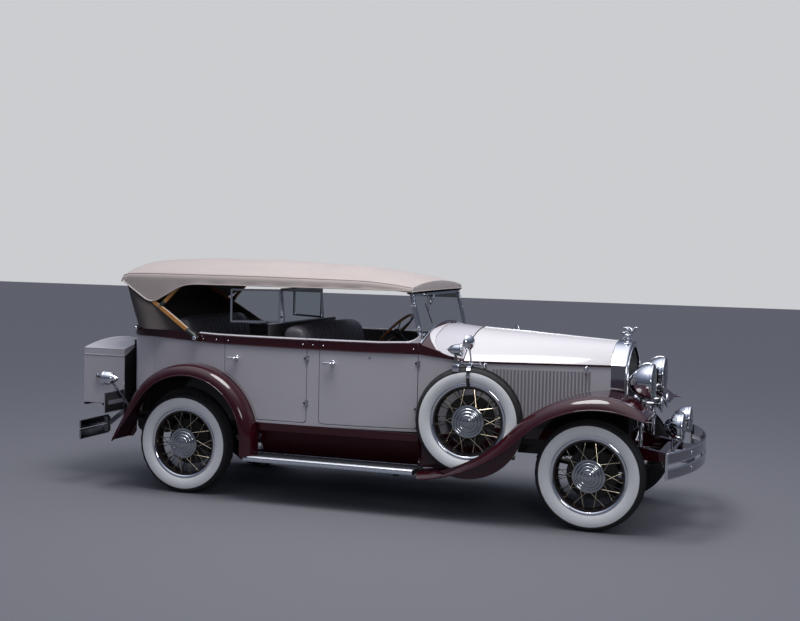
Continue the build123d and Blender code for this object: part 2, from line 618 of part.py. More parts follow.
# Hood: two top panels hinged along the middle, and fixed louvred sides
hood_outside = dome((COWL_X, cowl_half_front, HOOD_EDGE_Z, HOOD_REAR_Z, HOOD_EDGE_Z - 1),
                    (RADIATOR_X, radiator_half, HOOD_EDGE_Z, HOOD_FRONT_Z, HOOD_EDGE_Z - 1))
hood_inside = dome((COWL_X - 1, cowl_half_front - HOOD_SKIN, HOOD_EDGE_Z - 3, HOOD_REAR_Z - HOOD_SKIN, HOOD_EDGE_Z - 9),
                   (RADIATOR_X + 1, radiator_half - HOOD_SKIN, HOOD_EDGE_Z - 3, HOOD_FRONT_Z - HOOD_SKIN, HOOD_EDGE_Z - 9))
hood_skin = (hood_outside - hood_inside) & block(
    (COWL_X + MOVING_GAP, RADIATOR_X - MOVING_GAP), (HOOD_BARREL + 1, 1000), (HOOD_EDGE_Z + SEAT_GAP, 2000))
barrel_y = HOOD_BARREL + 1
barrel_start = Vector(COWL_X, barrel_y, HOOD_REAR_Z - 2)
barrel_end = Vector(RADIATOR_X, barrel_y, HOOD_FRONT_Z - 2)
along = (barrel_end - barrel_start).normalized()
tube_start = barrel_start + along * 8
tube_end = barrel_end - along * 8
barrel = rod(tube_start, tube_end, HOOD_BARREL) - rod(barrel_start, barrel_end, HOOD_PIN + RUNNING_FIT)
hood_top = hood_skin - rod(barrel_start - along * 20, barrel_end + along * 20, HOOD_PIN + RUNNING_FIT) + barrel
hood_pin = rod(barrel_start - along * 2, barrel_end + along * 2, HOOD_PIN) & block(
    (COWL_X, RADIATOR_X), (0, 100), (0, 2000))
save(hood_top, "hood_top_left")
save(mirrored(hood_top), "hood_top_right")

hood_side = plan_prism(make_face(Polyline(
    (COWL_X, cowl_half_front), (RADIATOR_X, radiator_half), (RADIATOR_X, radiator_half - HOOD_SKIN),
    (COWL_X, cowl_half_front - HOOD_SKIN), close=True)), HOOD_SIDE_LOW_Z, HOOD_EDGE_Z)


# Front fender: a crowned shell under one line of tangent arcs, open below for the wheel
def under_line(edges, low_z, reach):
    """Face under a chain of arcs, down to a low height."""
    first = edges[0] @ 0
    last = edges[-1] @ 1
    far_x = last.X + reach
    path = [last]
    if reach:
        path.append((far_x, last.Y))
    path += [(far_x, low_z), (first.X - abs(reach), low_z)]
    if reach:
        path.append((first.X - abs(reach), first.Y))
    path.append(first)
    return make_face([*edges, Polyline(*path)])


def crowned(face, y_low, y_high, crown, inner_crown):
    """Solid with its upper long edges rounded."""
    solid = side_prism(face, y_low, y_high)
    for y, radius in ((y_high, crown), (y_low, inner_crown)):
        arcs = [edge for edge in solid.edges().filter_by(GeomType.CIRCLE) if abs(edge.center().Y - y) < 0.5]
        solid = fillet(arcs, radius)
    return solid


FENDER_INNER_Y = 395
# Arc rows: radius (negative turns down), sweep in degrees
FRONT_CREST = ((1129, 42.05), (-942, 43.39), (-545, 47.48))
FRONT_LIP = ((1305, 39.5), (-820, 65.3), (237, 25.1))
crest_start = (FRONT_X - 1328, 354)
lip_start = (FRONT_X - 1294, 311)
crest_face = under_line(arc_chain(crest_start, 5.75, FRONT_CREST), 100, 0)
inside_face = offset(crest_face, amount=-FENDER_SKIN)
lip_face = under_line(arc_chain(lip_start, 5.62, FRONT_LIP), 0, 200)
fender = crowned(crest_face, FENDER_INNER_Y, FENDER_WIDTH_Y, FRONT_CROWN, 40)
fender -= crowned(inside_face, FENDER_INNER_Y + FENDER_SKIN, FENDER_WIDTH_Y - FENDER_SKIN,
                  FRONT_CROWN - FENDER_SKIN, 40 - FENDER_SKIN)
fender -= side_prism(lip_face, 0, 1000)
hood_zone = plan_prism(make_face(Polyline(
    (COWL_REAR_X, cowl_half_rear + SEAT_GAP), (COWL_X, cowl_half_front + SEAT_GAP),
    (RADIATOR_X, radiator_half + SEAT_GAP), (RADIATOR_X, 0), (COWL_REAR_X, 0), close=True)), 0, 2000)
fender -= hood_zone
well_place = spare_place * Rot(90, 0, 0)
spare_well = well_place * Cylinder(TYRE_RADIUS + WELL_GAP, TYRE_WIDTH + 2 * WELL_GAP)
well_pan = well_place * Cylinder(TYRE_RADIUS + WELL_GAP + FENDER_SKIN, TYRE_WIDTH + 2 * WELL_GAP + 2 * FENDER_SKIN)
well_pan &= side_prism(inside_face, 0, FENDER_WIDTH_Y - FENDER_SKIN)
fender = fender + well_pan - spare_well - hood_zone
save(both_sides(fender), "front_fenders")

# Louvres pressed into the hood sides, down to where the fender covers them
taper = math.degrees(math.atan2(radiator_half - cowl_half_front, RADIATOR_X - COWL_X))
louvre = plan_prism(make_face(Polyline((9, -1), (-9, 7), (-9, -1), close=True)), LOUVRE_LOW_Z, LOUVRE_TOP_Z)
under_crest = side_prism(offset(crest_face, amount=1), 0, 1000)
for number in range(LOUVRES):
    x = LOUVRE_REAR_X + number * LOUVRE_PITCH
    y = cowl_half_front + (x - COWL_X) * math.tan(math.radians(taper))
    hood_side += Pos(x, y, 0) * Rot(0, 0, taper) * louvre - under_crest
save(gather(hood_side, mirrored(hood_side), hood_pin, mirrored(hood_pin)), "hood_sides")
spare_post = spare_place * rod((0, -DRUM_WIDTH - 38, 0), (0, -DRUM_WIDTH - 200, 0), 30) - hood_zone
save(both_sides(spare_place * one_wheel + spare_post), "spare_wheels")

# Rear fender


def arch_face(radius, tail_heading, foot_z, reach):
    """Face under an arch over the rear wheel: upright in front, an arc, then a straight tail."""
    front = (REAR_ARCH[0] + radius, REAR_ARCH[1])
    arc = arc_chain(front, 90, ((radius, tail_heading - 90),))[0]
    fall = (arc % 1).Y
    tail_end = (arc @ 1) + (arc % 1) * (((arc @ 1).Y - foot_z) / -fall)
    rear_x = tail_end.X - reach
    return make_face([
        Line((front[0], 0), front), arc, Line(arc @ 1, tail_end),
        Polyline(tail_end, (rear_x, foot_z), (rear_x, 0), (front[0], 0)),
    ])


rear_face = arch_face(REAR_CREST_RADIUS, 242, 1, 40)
rear_inside = offset(rear_face, amount=-FENDER_SKIN)
rear_lip_face = arch_face(REAR_LIP_RADIUS, 235, REAR_TAIL_Z, 300)
rear_fender = crowned(rear_face, FENDER_ROOT_Y, REAR_FENDER_Y, REAR_CROWN, 30)
rear_fender -= crowned(rear_inside, FENDER_ROOT_Y + FENDER_SKIN, REAR_FENDER_Y - FENDER_SKIN,
                       REAR_CROWN - FENDER_SKIN, 30 - FENDER_SKIN)
rear_fender -= side_prism(rear_lip_face, 0, 1000)
rear_fender -= plan_prism(offset(plan, amount=SEAT_GAP), 0, 2000)
rear_fender &= block((TAIL_X, NOSE_X), (0, 1000), (BOARD_TOP_Z, 2000))
save(both_sides(rear_fender), "rear_fenders")

# Running boards and the aprons above them
BOARD_FRONT_X = FRONT_X - 1345
BOARD_REAR_X = REAR_X + 610
board = block((BOARD_REAR_X, BOARD_FRONT_X), (BOARD_INNER_Y, BOARD_OUTER_Y),
              (BOARD_TOP_Z - BOARD_THICKNESS, BOARD_TOP_Z))
BOARD_HOLES = 300
BOARD_HOLE_RADIUS = 4.5
hole_middle = ((BOARD_REAR_X + BOARD_FRONT_X) / 2, (BOARD_INNER_Y + BOARD_OUTER_Y) / 2)
for x in (hole_middle[0] - BOARD_HOLES / 2, hole_middle[0] + BOARD_HOLES / 2):
    board -= rod((x, hole_middle[1], 0), (x, hole_middle[1], BOARD_TOP_Z), BOARD_HOLE_RADIUS)
brackets = [block((x - 20, x + 20), (RAIL_Y_REAR - 60, BOARD_OUTER_Y - 40), (BOARD_TOP_Z - 55, BOARD_TOP_Z - 30))
            for x in (BOARD_REAR_X + 150, BOARD_FRONT_X - 150)]
save(both_sides(board + brackets), "running_boards")
apron = end_prism(make_face(Polyline(
    (BOARD_INNER_Y, BOARD_TOP_Z), (BOARD_INNER_Y + 8, BOARD_TOP_Z), (770, SILL_Z - 60), (770, SILL_Z),
    (762, SILL_Z), (762, SILL_Z - 57), (BOARD_INNER_Y, BOARD_TOP_Z + 8), close=True)),
    REAR_ARCH[0] + REAR_CREST_RADIUS, BOARD_FRONT_X)
lower_side = plan_prism(make_face(Polyline(
    (COWL_REAR_X, cowl_half_rear), (COWL_X, cowl_half_front), (RADIATOR_X, radiator_half),
    (RADIATOR_X, radiator_half - HOOD_SKIN), (COWL_X, cowl_half_front - HOOD_SKIN),
    (COWL_REAR_X, cowl_half_rear - HOOD_SKIN), close=True)), BOARD_TOP_Z, SILL_Z)
lower_side &= block((COWL_REAR_X, SPARE_X + 250), (0, 1000), (0, SILL_Z))
lower_side -= side_prism(crest_face, 0, 1000)
hood_apron = plan_prism(make_face(Polyline(
    (COWL_X, cowl_half_front), (RADIATOR_X, radiator_half), (RADIATOR_X, radiator_half - HOOD_SKIN),
    (COWL_X, cowl_half_front - HOOD_SKIN), close=True)), RAIL_TOP_Z, HOOD_SIDE_LOW_Z)
save(both_sides(gather(apron, hood_apron, lower_side)), "splash_aprons")


# Radiator: bright shell round a core, with a filler cap and a plain ornament
def radiator_outline(inset, low_z):
    half = radiator_half - inset
    return make_face([
        ThreePointArc((-half, HOOD_EDGE_Z - inset / 2), (0, HOOD_FRONT_Z + 4 - inset), (half, HOOD_EDGE_Z - inset / 2)),
        Polyline((half, HOOD_EDGE_Z - inset / 2), (half - 20, low_z), (20 - half, low_z), (-half, HOOD_EDGE_Z - inset / 2)),
    ])


shell = end_prism(radiator_outline(-4, RADIATOR_LOW_Z), RADIATOR_X, RADIATOR_X + RADIATOR_DEPTH)
shell = fillet([edge for edge in shell.edges() if edge.center().X > RADIATOR_X + RADIATOR_DEPTH - 0.5
                and edge.center().Z > RADIATOR_LOW_Z + 5], 22)
shell -= end_prism(radiator_outline(40, RADIATOR_LOW_Z + 45), RADIATOR_X - 1, RADIATOR_X + RADIATOR_DEPTH + 1)
cap_x = RADIATOR_X + 70
cap = Pos(cap_x, 0, HOOD_FRONT_Z + 12) * Cylinder(30, 50) + Pos(cap_x, 0, HOOD_FRONT_Z + 42) * Cylinder(24, 20)
ornament = side_prism(make_face(Polyline(
    (cap_x - 80, HOOD_FRONT_Z + 70), (cap_x - 20, HOOD_FRONT_Z + 50), (cap_x + 20, HOOD_FRONT_Z + 50),
    (cap_x + 70, HOOD_FRONT_Z + 100), (cap_x + 55, HOOD_FRONT_Z + 112), (cap_x, HOOD_FRONT_Z + 72),
    close=True)), -7, 7)
save(shell + cap + ornament, "radiator_shell")
core = end_prism(radiator_outline(40 + SEAT_GAP, RADIATOR_LOW_Z + 45 + SEAT_GAP),
                 RADIATOR_X + 20, RADIATOR_X + RADIATOR_DEPTH - 25)
save(core, "radiator_core")


# Windshields: frame bars with glass between
def pane(plane, width, height, bar_size, inset):
    """Frame and glass of a flat pane that stands on its plane's origin."""
    border = Pos(0, height / 2) * RectangleRounded(width, height, 12)
    opening = Pos(0, height / 2) * RectangleRounded(width - 2 * bar_size, height - 2 * bar_size, 6)
    frame = extrude(plane * (border - opening), amount=bar_size / 2, both=True)
    glass_face = Pos(0, height / 2) * RectangleRounded(
        width - 2 * bar_size + inset, height - 2 * bar_size + inset, 6)
    glass = extrude(plane * glass_face, amount=2.5, both=True)
    return frame - glass, glass


def leaning(low, high):
    """Plane of a pane across the car, and its height: low and high edges are (X, Z)."""
    lean = Vector(high[0] - low[0], 0, high[1] - low[1])
    return Plane(origin=(low[0], 0, low[1]), x_dir=(0, 1, 0), z_dir=Vector(0, 1, 0).cross(lean)), lean.length


SHIELD_LOW = (COWL_REAR_X - 14, 1392)
SHIELD_HIGH = (COWL_REAR_X - 101, 1725)
SHIELD_HALF = 615
shield_plane, shield_height = leaning(SHIELD_LOW, SHIELD_HIGH)
shield_frame, shield_glass = pane(shield_plane, 2 * SHIELD_HALF, shield_height, 22, 8)
post = bar((SHIELD_LOW[0] - 2, SHIELD_HALF + 10, 1372), (SHIELD_HIGH[0], SHIELD_HALF + 10, SHIELD_HIGH[1] + 6), 20, 20)
post += block((SHIELD_LOW[0] - 8, COWL_REAR_X), (SHIELD_HALF, SHIELD_HALF + 20), (1340, 1395))
tonneau_plane, tonneau_height = leaning((TONNEAU_X, TONNEAU_LOW_Z), (TONNEAU_X - 25, 1725))
tonneau_frame, tonneau_glass = pane(tonneau_plane, 2 * TONNEAU_HALF, tonneau_height, 18, 6)
# Side wings of the rear windshield, folded back on two hinges each
wing_run = Vector(-366, 195, 0)
wing_start = Vector(TONNEAU_X - 22, TONNEAU_HALF + 15, TONNEAU_LOW_Z + 12)
wing_plane = Plane(origin=wing_start + wing_run * 0.5, x_dir=wing_run, z_dir=wing_run.cross(Vector(0, 0, 1)))
wing_frame, wing_glass = pane(wing_plane, wing_run.length, 280, 16, 6)
for z in (TONNEAU_LOW_Z + 60, TONNEAU_LOW_Z + 240):
    lean_x = TONNEAU_X - 25 * (z - TONNEAU_LOW_Z) / 300
    wing_frame += rod((lean_x, TONNEAU_HALF - 8, z), (wing_start.X - 8, wing_start.Y + 8, z), 7) - wing_glass
windshields = gather(shield_frame + post + mirrored(post), tonneau_frame - bulkhead + wing_frame + mirrored(wing_frame))
save(windshields, "windshield_frames")
save(gather(shield_glass, tonneau_glass, wing_glass, mirrored(wing_glass)), "windshield_glass")


# Seats: a cushion and a back on each
def seat_face(rear_x, front_x, base_z, cushion_z, back_z, thickness):
    """Outline of a seat from the side: base, cushion and raked back."""
    return make_face(FilletPolyline(
        (rear_x, base_z), (front_x, base_z), (front_x, cushion_z),
        (rear_x + thickness + SEAT_RAKE, cushion_z - SEAT_DIP),
        (rear_x + thickness, back_z), (rear_x - SEAT_LEAN, back_z), radius=30, close=True))


SEAT_RAKE = 100
SEAT_LEAN = 30
SEAT_DIP = 40
SEAT_HALF = 670
front_seat = side_prism(seat_face(TONNEAU_X + 130, TONNEAU_X + 783, FLOOR_TOP, 980, 1425, 150), -SEAT_HALF, SEAT_HALF)
save(front_seat, "front_seat")
rear_seat = side_prism(seat_face(REAR_X - 230, REAR_X + 420, FLOOR_TOP, 960, 1450, 130), -HOUSE_Y + 12, HOUSE_Y - 12)
save(rear_seat, "rear_seat")

# Dashboard, steering column and steering wheel
DASH_X = COWL_REAR_X - 13
dash = block((DASH_X, COWL_REAR_X), (-door_way_half, door_way_half), (1150, 1325))
WHEEL_CENTRE = Vector(FRONT_X - 1942, 330, 1358)
COLUMN_ANGLE = 45
column_dir = Vector(math.cos(math.radians(COLUMN_ANGLE)), 0, -math.sin(math.radians(COLUMN_ANGLE)))
column_end = WHEEL_CENTRE + column_dir * 1020
WHEEL_HUB_DEPTH = 39
column = rod(WHEEL_CENTRE + column_dir * (WHEEL_HUB_DEPTH + SEAT_GAP), column_end, 22) - block(
    (0, COWL_X), (0, 500), (0, FLOOR_TOP))
dash -= rod(WHEEL_CENTRE, column_end, 22)
save(gather(dash, column), "dashboard")
wheel_plane = Plane(origin=WHEEL_CENTRE, x_dir=(0, 1, 0), z_dir=column_dir)
steering = wheel_plane * Torus(205, 12)
steering += wheel_plane * Pos(0, 0, WHEEL_HUB_DEPTH / 2) * Cylinder(34, WHEEL_HUB_DEPTH)
for angle in (45, 135, 225, 315):
    steering += wheel_plane * Rot(0, 0, angle) * Pos(110, 0, 8) * Box(185, 14, 8)
save(steering, "steering_wheel")


# Folding top: roof with side valances, rear curtain, and wood bows
def roof_section(x, half_width, low_z, edge_z, ridge_z):
    """Thin arched section, drawn in Y and Z."""
    outer = [
        ThreePointArc((-half_width, edge_z), (0, ridge_z), (half_width, edge_z)),
        Line((half_width, edge_z), (half_width, low_z)),
        Line((half_width, low_z), (half_width - TOP_SKIN, low_z)),
        Line((half_width - TOP_SKIN, low_z), (half_width - TOP_SKIN, edge_z - TOP_SKIN)),
        ThreePointArc((half_width - TOP_SKIN, edge_z - TOP_SKIN), (0, ridge_z - TOP_SKIN),
                      (TOP_SKIN - half_width, edge_z - TOP_SKIN)),
        Line((TOP_SKIN - half_width, edge_z - TOP_SKIN), (TOP_SKIN - half_width, low_z)),
        Line((TOP_SKIN - half_width, low_z), (-half_width, low_z)),
        Line((-half_width, low_z), (-half_width, edge_z)),
    ]
    return Plane.YZ.offset(x) * make_face(outer)


# Roof rows: X, half width, valance foot, roof edge, ridge
ROOF = (
    (REAR_X - 690, TOP_HALF_WIDTH - 40, 1590, 1800, 1905),
    (REAR_X - 430, TOP_HALF_WIDTH, 1590, 1812, 1945),
    (REAR_X + 600, TOP_HALF_WIDTH, 1590, 1812, 1950),
    (FRONT_X - 1450, TOP_HALF_WIDTH + 15, 1590, 1762, 1812),
)
roof = loft([roof_section(*ROOF[0]), roof_section(*ROOF[1])], ruled=True)
roof += loft([roof_section(*ROOF[1]), roof_section(*ROOF[2])], ruled=True)
roof += loft([roof_section(*ROOF[2]), roof_section(*ROOF[3])], ruled=True)
# The hem runs level along the sides, drops to the rear bow and then follows it up
HEM = ((NOSE_X, 1745), (REAR_X - 96, 1738), (REAR_X - 202, 1689), (REAR_X - 387, 1598), (REAR_X - 700, 1796))
roof -= side_prism(make_face(Polyline(*HEM, (TAIL_X, 1796), (TAIL_X, 1500), (NOSE_X, 1500), close=True)), -1000, 1000)


def curtain_plan(inset, side, corner_x, corner_y, rear_x, z):
    """Outline of the rear curtain at a height: side rows are (X, Y) from the front to the corner."""
    middle = ((side[0][0] + side[1][0]) / 2, (side[0][1] + side[1][1]) / 2)
    left = [
        ThreePointArc((side[0][0], side[0][1] - inset), (middle[0], middle[1] + 2 - inset), (side[1][0], side[1][1] - inset)),
        ThreePointArc((side[1][0], side[1][1] - inset), (corner_x + inset * 0.7, corner_y - inset * 0.7),
                      (rear_x[0] + inset, rear_x[1] - inset * 0.4)),
    ]
    right = [mirror(edge, about=Plane.XZ) for edge in left]
    rear_corner = left[1] @ 1
    rear = ThreePointArc(rear_corner, (rear_x[2] + inset, 0), (rear_corner.X, -rear_corner.Y))
    front = Line(left[0] @ 0, right[0] @ 0)
    return Pos(0, 0, z) * make_face([*left, rear, *right, front])


curtain_start = REAR_X + 50
foot_rows = ((curtain_start, side_y(curtain_start) - 6), (CORNER_START_X, side_y(CORNER_START_X) - 6))
head_rows = ((curtain_start, TOP_HALF_WIDTH - 22), (REAR_X - 590, TOP_HALF_WIDTH - 38))


def curtain_filling(inset):
    foot = curtain_plan(inset, foot_rows, corner_middle[0] + 4, corner_middle[1] - 4,
                        (CORNER_END[0] + 6, CORNER_END[1] - 2, BODY_REAR_X + 6), 1340)
    head = curtain_plan(inset, head_rows, REAR_X - 655, TOP_HALF_WIDTH - 72,
                        (REAR_X - 682, TOP_HALF_WIDTH - 150, REAR_X - 688), 1796)
    return loft([foot, head], ruled=True)


BOW_LINE = ((REAR_X + 84, 1301), (REAR_X - 676, 1781))
behind_bow = side_prism(make_face(Polyline(
    (BOW_LINE[0][0], BOW_LINE[0][1] + 16), (REAR_X - 700, 1796), (TAIL_X, 1796), (TAIL_X, 1200),
    (BOW_LINE[0][0], 1200), close=True)), -1000, 1000)
curtain = (curtain_filling(0) - curtain_filling(TOP_SKIN)) & behind_bow & above_edge
# Bows: hoops under the cloth, a header on the windshield, and legs down to the body side
def roof_filling(drop):
    """Solid under the roof's inner face, lowered and narrowed by a thickness."""
    faces = []
    for x, half_width, low_z, edge_z, ridge_z in ROOF:
        half = half_width - TOP_SKIN - drop
        arc = ThreePointArc((-half, edge_z - TOP_SKIN - drop), (0, ridge_z - TOP_SKIN - drop), (half, edge_z - TOP_SKIN - drop))
        base = Polyline((half, edge_z - TOP_SKIN - drop), (half, 1700), (-half, 1700), (-half, edge_z - TOP_SKIN - drop))
        faces.append(Plane.YZ.offset(x) * make_face([arc, base]))
    pieces = [loft([rear, front], ruled=True) for rear, front in zip(faces, faces[1:])]
    return pieces[0] + pieces[1] + pieces[2]


BOW_DEPTH = 22
HOOP_XS = (REAR_X - 660, REAR_X - 90, REAR_X + 600, FRONT_X - 2100)
under_roof = roof_filling(0)
hoop_band = under_roof - roof_filling(BOW_DEPTH)
bow_pieces = [hoop_band & block((x - 14, x + 14), (-1000, 1000), (1745, 2000)) for x in HOOP_XS]
header_x = SHIELD_HIGH[0]
header = under_roof & block((header_x - 20, header_x + 15), (-1000, 1000), (SHIELD_HIGH[1] - 3, 2000))
bow_pieces.append(header - windshields)
PIVOT = (BOW_LINE[0][0], side_y(BOW_LINE[0][0]) + BELT_PROUD + 14, BOW_LINE[0][1])
pivot_boss = rod((PIVOT[0], PIVOT[1] - 30, PIVOT[2]), (PIVOT[0], PIVOT[1] + 20, PIVOT[2]), 20)
long_leg = bar(PIVOT, (BOW_LINE[1][0], 606, BOW_LINE[1][1]), 28, 24)
short_leg = bar((REAR_X - 302, 655, 1545), (HOOP_XS[1], 634, 1770), 28, 24)
legs = pivot_boss + long_leg + short_leg - plan_prism(plan_proud, 0, 1420)
legs &= under_roof + block((TAIL_X, NOSE_X), (-1000, 1000), (0, 1745))
bows = gather(*bow_pieces, legs, mirrored(legs))
save(bows, "top_bows")
FLAP_X = FRONT_X - 1450
flap = under_roof & block((FLAP_X - TOP_SKIN, FLAP_X), (-1000, 1000), (1742, 2000))
save(gather(roof + flap - bows, curtain - bows), "top_cloth")

# Trunk on its rack
TRUNK_FRONT_X = BODY_REAR_X - 26
TRUNK_HALF = 500
TRUNK_LOW_Z = SILL_Z + 25
TRUNK_SEAM_Z = 1080
TRUNK_WALL = 12
trunk = block((TAIL_X, TRUNK_FRONT_X), (-TRUNK_HALF, TRUNK_HALF), (TRUNK_LOW_Z, TRUNK_SEAM_Z))
trunk -= block((TAIL_X + TRUNK_WALL, TRUNK_FRONT_X - TRUNK_WALL), (-TRUNK_HALF + TRUNK_WALL, TRUNK_HALF - TRUNK_WALL),
               (TRUNK_LOW_Z + TRUNK_WALL, TRUNK_SEAM_Z + 1))
lid_depth = TRUNK_FRONT_X - TAIL_X
lid = end_prism(make_face([
    ThreePointArc((-TRUNK_HALF, 1147), (0, 1208), (TRUNK_HALF, 1147)),
    Polyline((TRUNK_HALF, 1147), (TRUNK_HALF, TRUNK_SEAM_Z + SEAT_GAP), (-TRUNK_HALF, TRUNK_SEAM_Z + SEAT_GAP),
             (-TRUNK_HALF, 1147))]), TAIL_X, TRUNK_FRONT_X)
lid -= end_prism(make_face([
    ThreePointArc((TRUNK_WALL - TRUNK_HALF, 1140), (0, 1196), (TRUNK_HALF - TRUNK_WALL, 1140)),
    Polyline((TRUNK_HALF - TRUNK_WALL, 1140), (TRUNK_HALF - TRUNK_WALL, TRUNK_SEAM_Z),
             (TRUNK_WALL - TRUNK_HALF, TRUNK_SEAM_Z), (TRUNK_WALL - TRUNK_HALF, 1140))]),
    TAIL_X + TRUNK_WALL, TRUNK_FRONT_X - TRUNK_WALL)
LID_AXIS = (TRUNK_FRONT_X + 5, 1216)
LID_HINGE_YS = (-300, 300)
strap = []
for y in LID_HINGE_YS:
    lid_top = 1147 + 61 * (1 - (y / TRUNK_HALF) ** 2)
    barrel_solid = Pos(LID_AXIS[0], y, LID_AXIS[1]) * Rot(90, 0, 0) * (Cylinder(7, 30) - Cylinder(3 + RUNNING_FIT, 30))
    lid += block((TRUNK_FRONT_X - 14, LID_AXIS[0] - 4), (y - 15, y + 15), (lid_top - 10, LID_AXIS[1])) + barrel_solid
    strap.append(block((TRUNK_FRONT_X, LID_AXIS[0] + 7), (y - 32, y + 32), (980, 1070)))
    for side in (-1, 1):
        ear_y = y + side * 24
        strap.append(block((TRUNK_FRONT_X + SEAT_GAP, LID_AXIS[0] + 7), (ear_y - 8, ear_y + 8), (1060, LID_AXIS[1])))
        strap.append(Pos(LID_AXIS[0], ear_y, LID_AXIS[1]) * Rot(90, 0, 0) * Cylinder(7, 16))
    strap.append(Pos(LID_AXIS[0], y, LID_AXIS[1]) * Rot(90, 0, 0) * Cylinder(3, 60))
save(trunk + strap, "trunk_box")
save(lid, "trunk_lid")
rack = block((TAIL_X, TRUNK_FRONT_X), (-360, -330), (TRUNK_LOW_Z - 25, TRUNK_LOW_Z))
rack += block((TAIL_X, TRUNK_FRONT_X), (330, 360), (TRUNK_LOW_Z - 25, TRUNK_LOW_Z))
for x in (TAIL_X + 15, TAIL_X + 200, TRUNK_FRONT_X - 15):
    rack += block((x - 15, x + 15), (-TRUNK_HALF, TRUNK_HALF), (TRUNK_LOW_Z - 20, TRUNK_LOW_Z))
rack += both_sides(block((REAR_X - 790, TRUNK_FRONT_X), (330, RAIL_Y_REAR), (SILL_Z, TRUNK_LOW_Z)))
save(rack, "luggage_rack")


# Lamps: bullet shells turned about X
def lamp(x_rim, radius, depth):
    """Bullet lamp that faces forwards: closed shell with a lens and a rim."""
    profile = make_face([
        Line((x_rim - depth, 0), (x_rim, 0)), Line((x_rim, 0), (x_rim, radius)),
        Line((x_rim, radius), (x_rim - 30, radius)),
        ThreePointArc((x_rim - 30, radius), (x_rim - depth * 0.72, radius * 0.62), (x_rim - depth, 0)),
    ])
    return Rot(37, 0, 0) * revolve(profile, axis=Axis.X)


HEAD_X = FRONT_X + 393
HEAD_Z = 1098
HEAD_Y = 340
HEAD_RADIUS = 142
head = Pos(0, HEAD_Y, HEAD_Z) * lamp(HEAD_X, HEAD_RADIUS, 192)
post_x = HEAD_X - 80
tie_z = HEAD_Z - HEAD_RADIUS - 8
tie_bar = rod((post_x, -HEAD_Y, tie_z), (post_x, HEAD_Y, tie_z), 11)
head_post = rod((post_x, HEAD_Y, HEAD_Z - HEAD_RADIUS + 30), (post_x, HEAD_Y, rail_at(post_x - 14)[0]), 14)
save(head + mirrored(head) + tie_bar + head_post + mirrored(head_post), "headlamps")
DRIVING_X = FRONT_X + 618
driving = Pos(0, 250, 760) * lamp(DRIVING_X, 105, 150)
driving_bar_x = FRONT_X + 545
driving_bar_z = rail_at(driving_bar_x)[0] + 10
driving_post = rod((driving_bar_x, 250, 680), (driving_bar_x, 250, driving_bar_z), 10)
driving_bar = rod((driving_bar_x, 10 - RAIL_Y_FRONT, driving_bar_z), (driving_bar_x, RAIL_Y_FRONT - 10, driving_bar_z), 12)
driving_bar -= side_prism(rail_side, -RAIL_Y_FRONT, RAIL_Y_FRONT)
save(driving + mirrored(driving) + driving_post + mirrored(driving_post) + driving_bar, "driving_lamps")
cowl_lamp = Pos(0, 700, 1307) * lamp(FRONT_X - 1025, 40, 95)
cowl_stem = rod((FRONT_X - 1070, 700, 1290), (FRONT_X - 1070, side_y(FRONT_X - 1070) - 20, 1214), 8) - cowl_proud
save(both_sides(cowl_lamp + cowl_stem), "cowl_lamps")
tail_lamp = Pos(REAR_X - 708, 750, 920) * Rot(0, 0, 180) * lamp(70, 48, 140)
tail_arm = rod((REAR_X - 708, 750, 890), (REAR_X - 700, RAIL_Y_REAR - 20, SILL_Z - 50), 10)
tail_arm -= block((TAIL_X, REAR_X), (0, RAIL_Y_REAR), (0, 2000))
# Number plate bracket on the right, with a hole at each end
PLATE_HOLES = 178
PLATE_HOLE_RADIUS = 3.5
plate_y_middle = -700
bracket = block((REAR_X - 711, REAR_X - 705), (plate_y_middle - 105, -545), (700, 735))
for y in (plate_y_middle - PLATE_HOLES / 2, plate_y_middle + PLATE_HOLES / 2):
    bracket -= rod((REAR_X - 720, y, 717.5), (REAR_X - 700, y, 717.5), PLATE_HOLE_RADIUS)
tail_side = tail_lamp + tail_arm
save(gather(tail_side, mirrored(tail_side) + bracket), "tail_lamps")


# Bumpers: bowed bars on brackets
def bumper_bar(middle_x, end_x, half_width, z_low, z_high):
    """Bowed flat bar, drawn in plan."""
    thickness = 12 if middle_x > 0 else -12
    front = ThreePointArc((end_x, -half_width), (middle_x, 0), (end_x, half_width))
    rear = ThreePointArc((end_x - thickness, half_width), (middle_x - thickness, 0), (end_x - thickness, -half_width))
    return plan_prism(make_face([front, Line(front @ 1, rear @ 0), rear, Line(rear @ 1, front @ 0)]), z_low, z_high)


front_bars = bumper_bar(NOSE_X, FRONT_X + 583, 850, 455, 525) + bumper_bar(NOSE_X, FRONT_X + 583, 850, 565, 640)
bow_drop = (NOSE_X - FRONT_X - 583) * (SPRING_Y / 850) ** 2
clamp_x = NOSE_X - bow_drop - 12
bumper_arm = block((FRONT_X + 560, clamp_x - 20), (SPRING_Y - 15, SPRING_Y + 15), (505, 550))
bumper_clamp = block((clamp_x - 26, clamp_x + 4), (SPRING_Y - 20, SPRING_Y + 20), (470, 625))
save(front_bars + bumper_arm + mirrored(bumper_arm) + bumper_clamp + mirrored(bumper_clamp), "front_bumper")
rear_bar = block((TAIL_X + 190, TAIL_X + 202), (420, 850), (400, 470)) + block(
    (TAIL_X + 190, TAIL_X + 202), (420, 850), (490, 550))
rear_clamp = block((TAIL_X + 202, TAIL_X + 220), (RAIL_Y_REAR - 10, RAIL_Y_REAR + 30), (410, 540))
rear_arm = bar((TAIL_X + 210, RAIL_Y_REAR - 8, 480), (REAR_X - 790, RAIL_Y_REAR - 24, SILL_Z - 40), 36)
rear_arm -= block((REAR_X - 790, NOSE_X), (0, 1000), (0, 1000))
save(both_sides(rear_bar + rear_clamp + rear_arm), "rear_bumper")

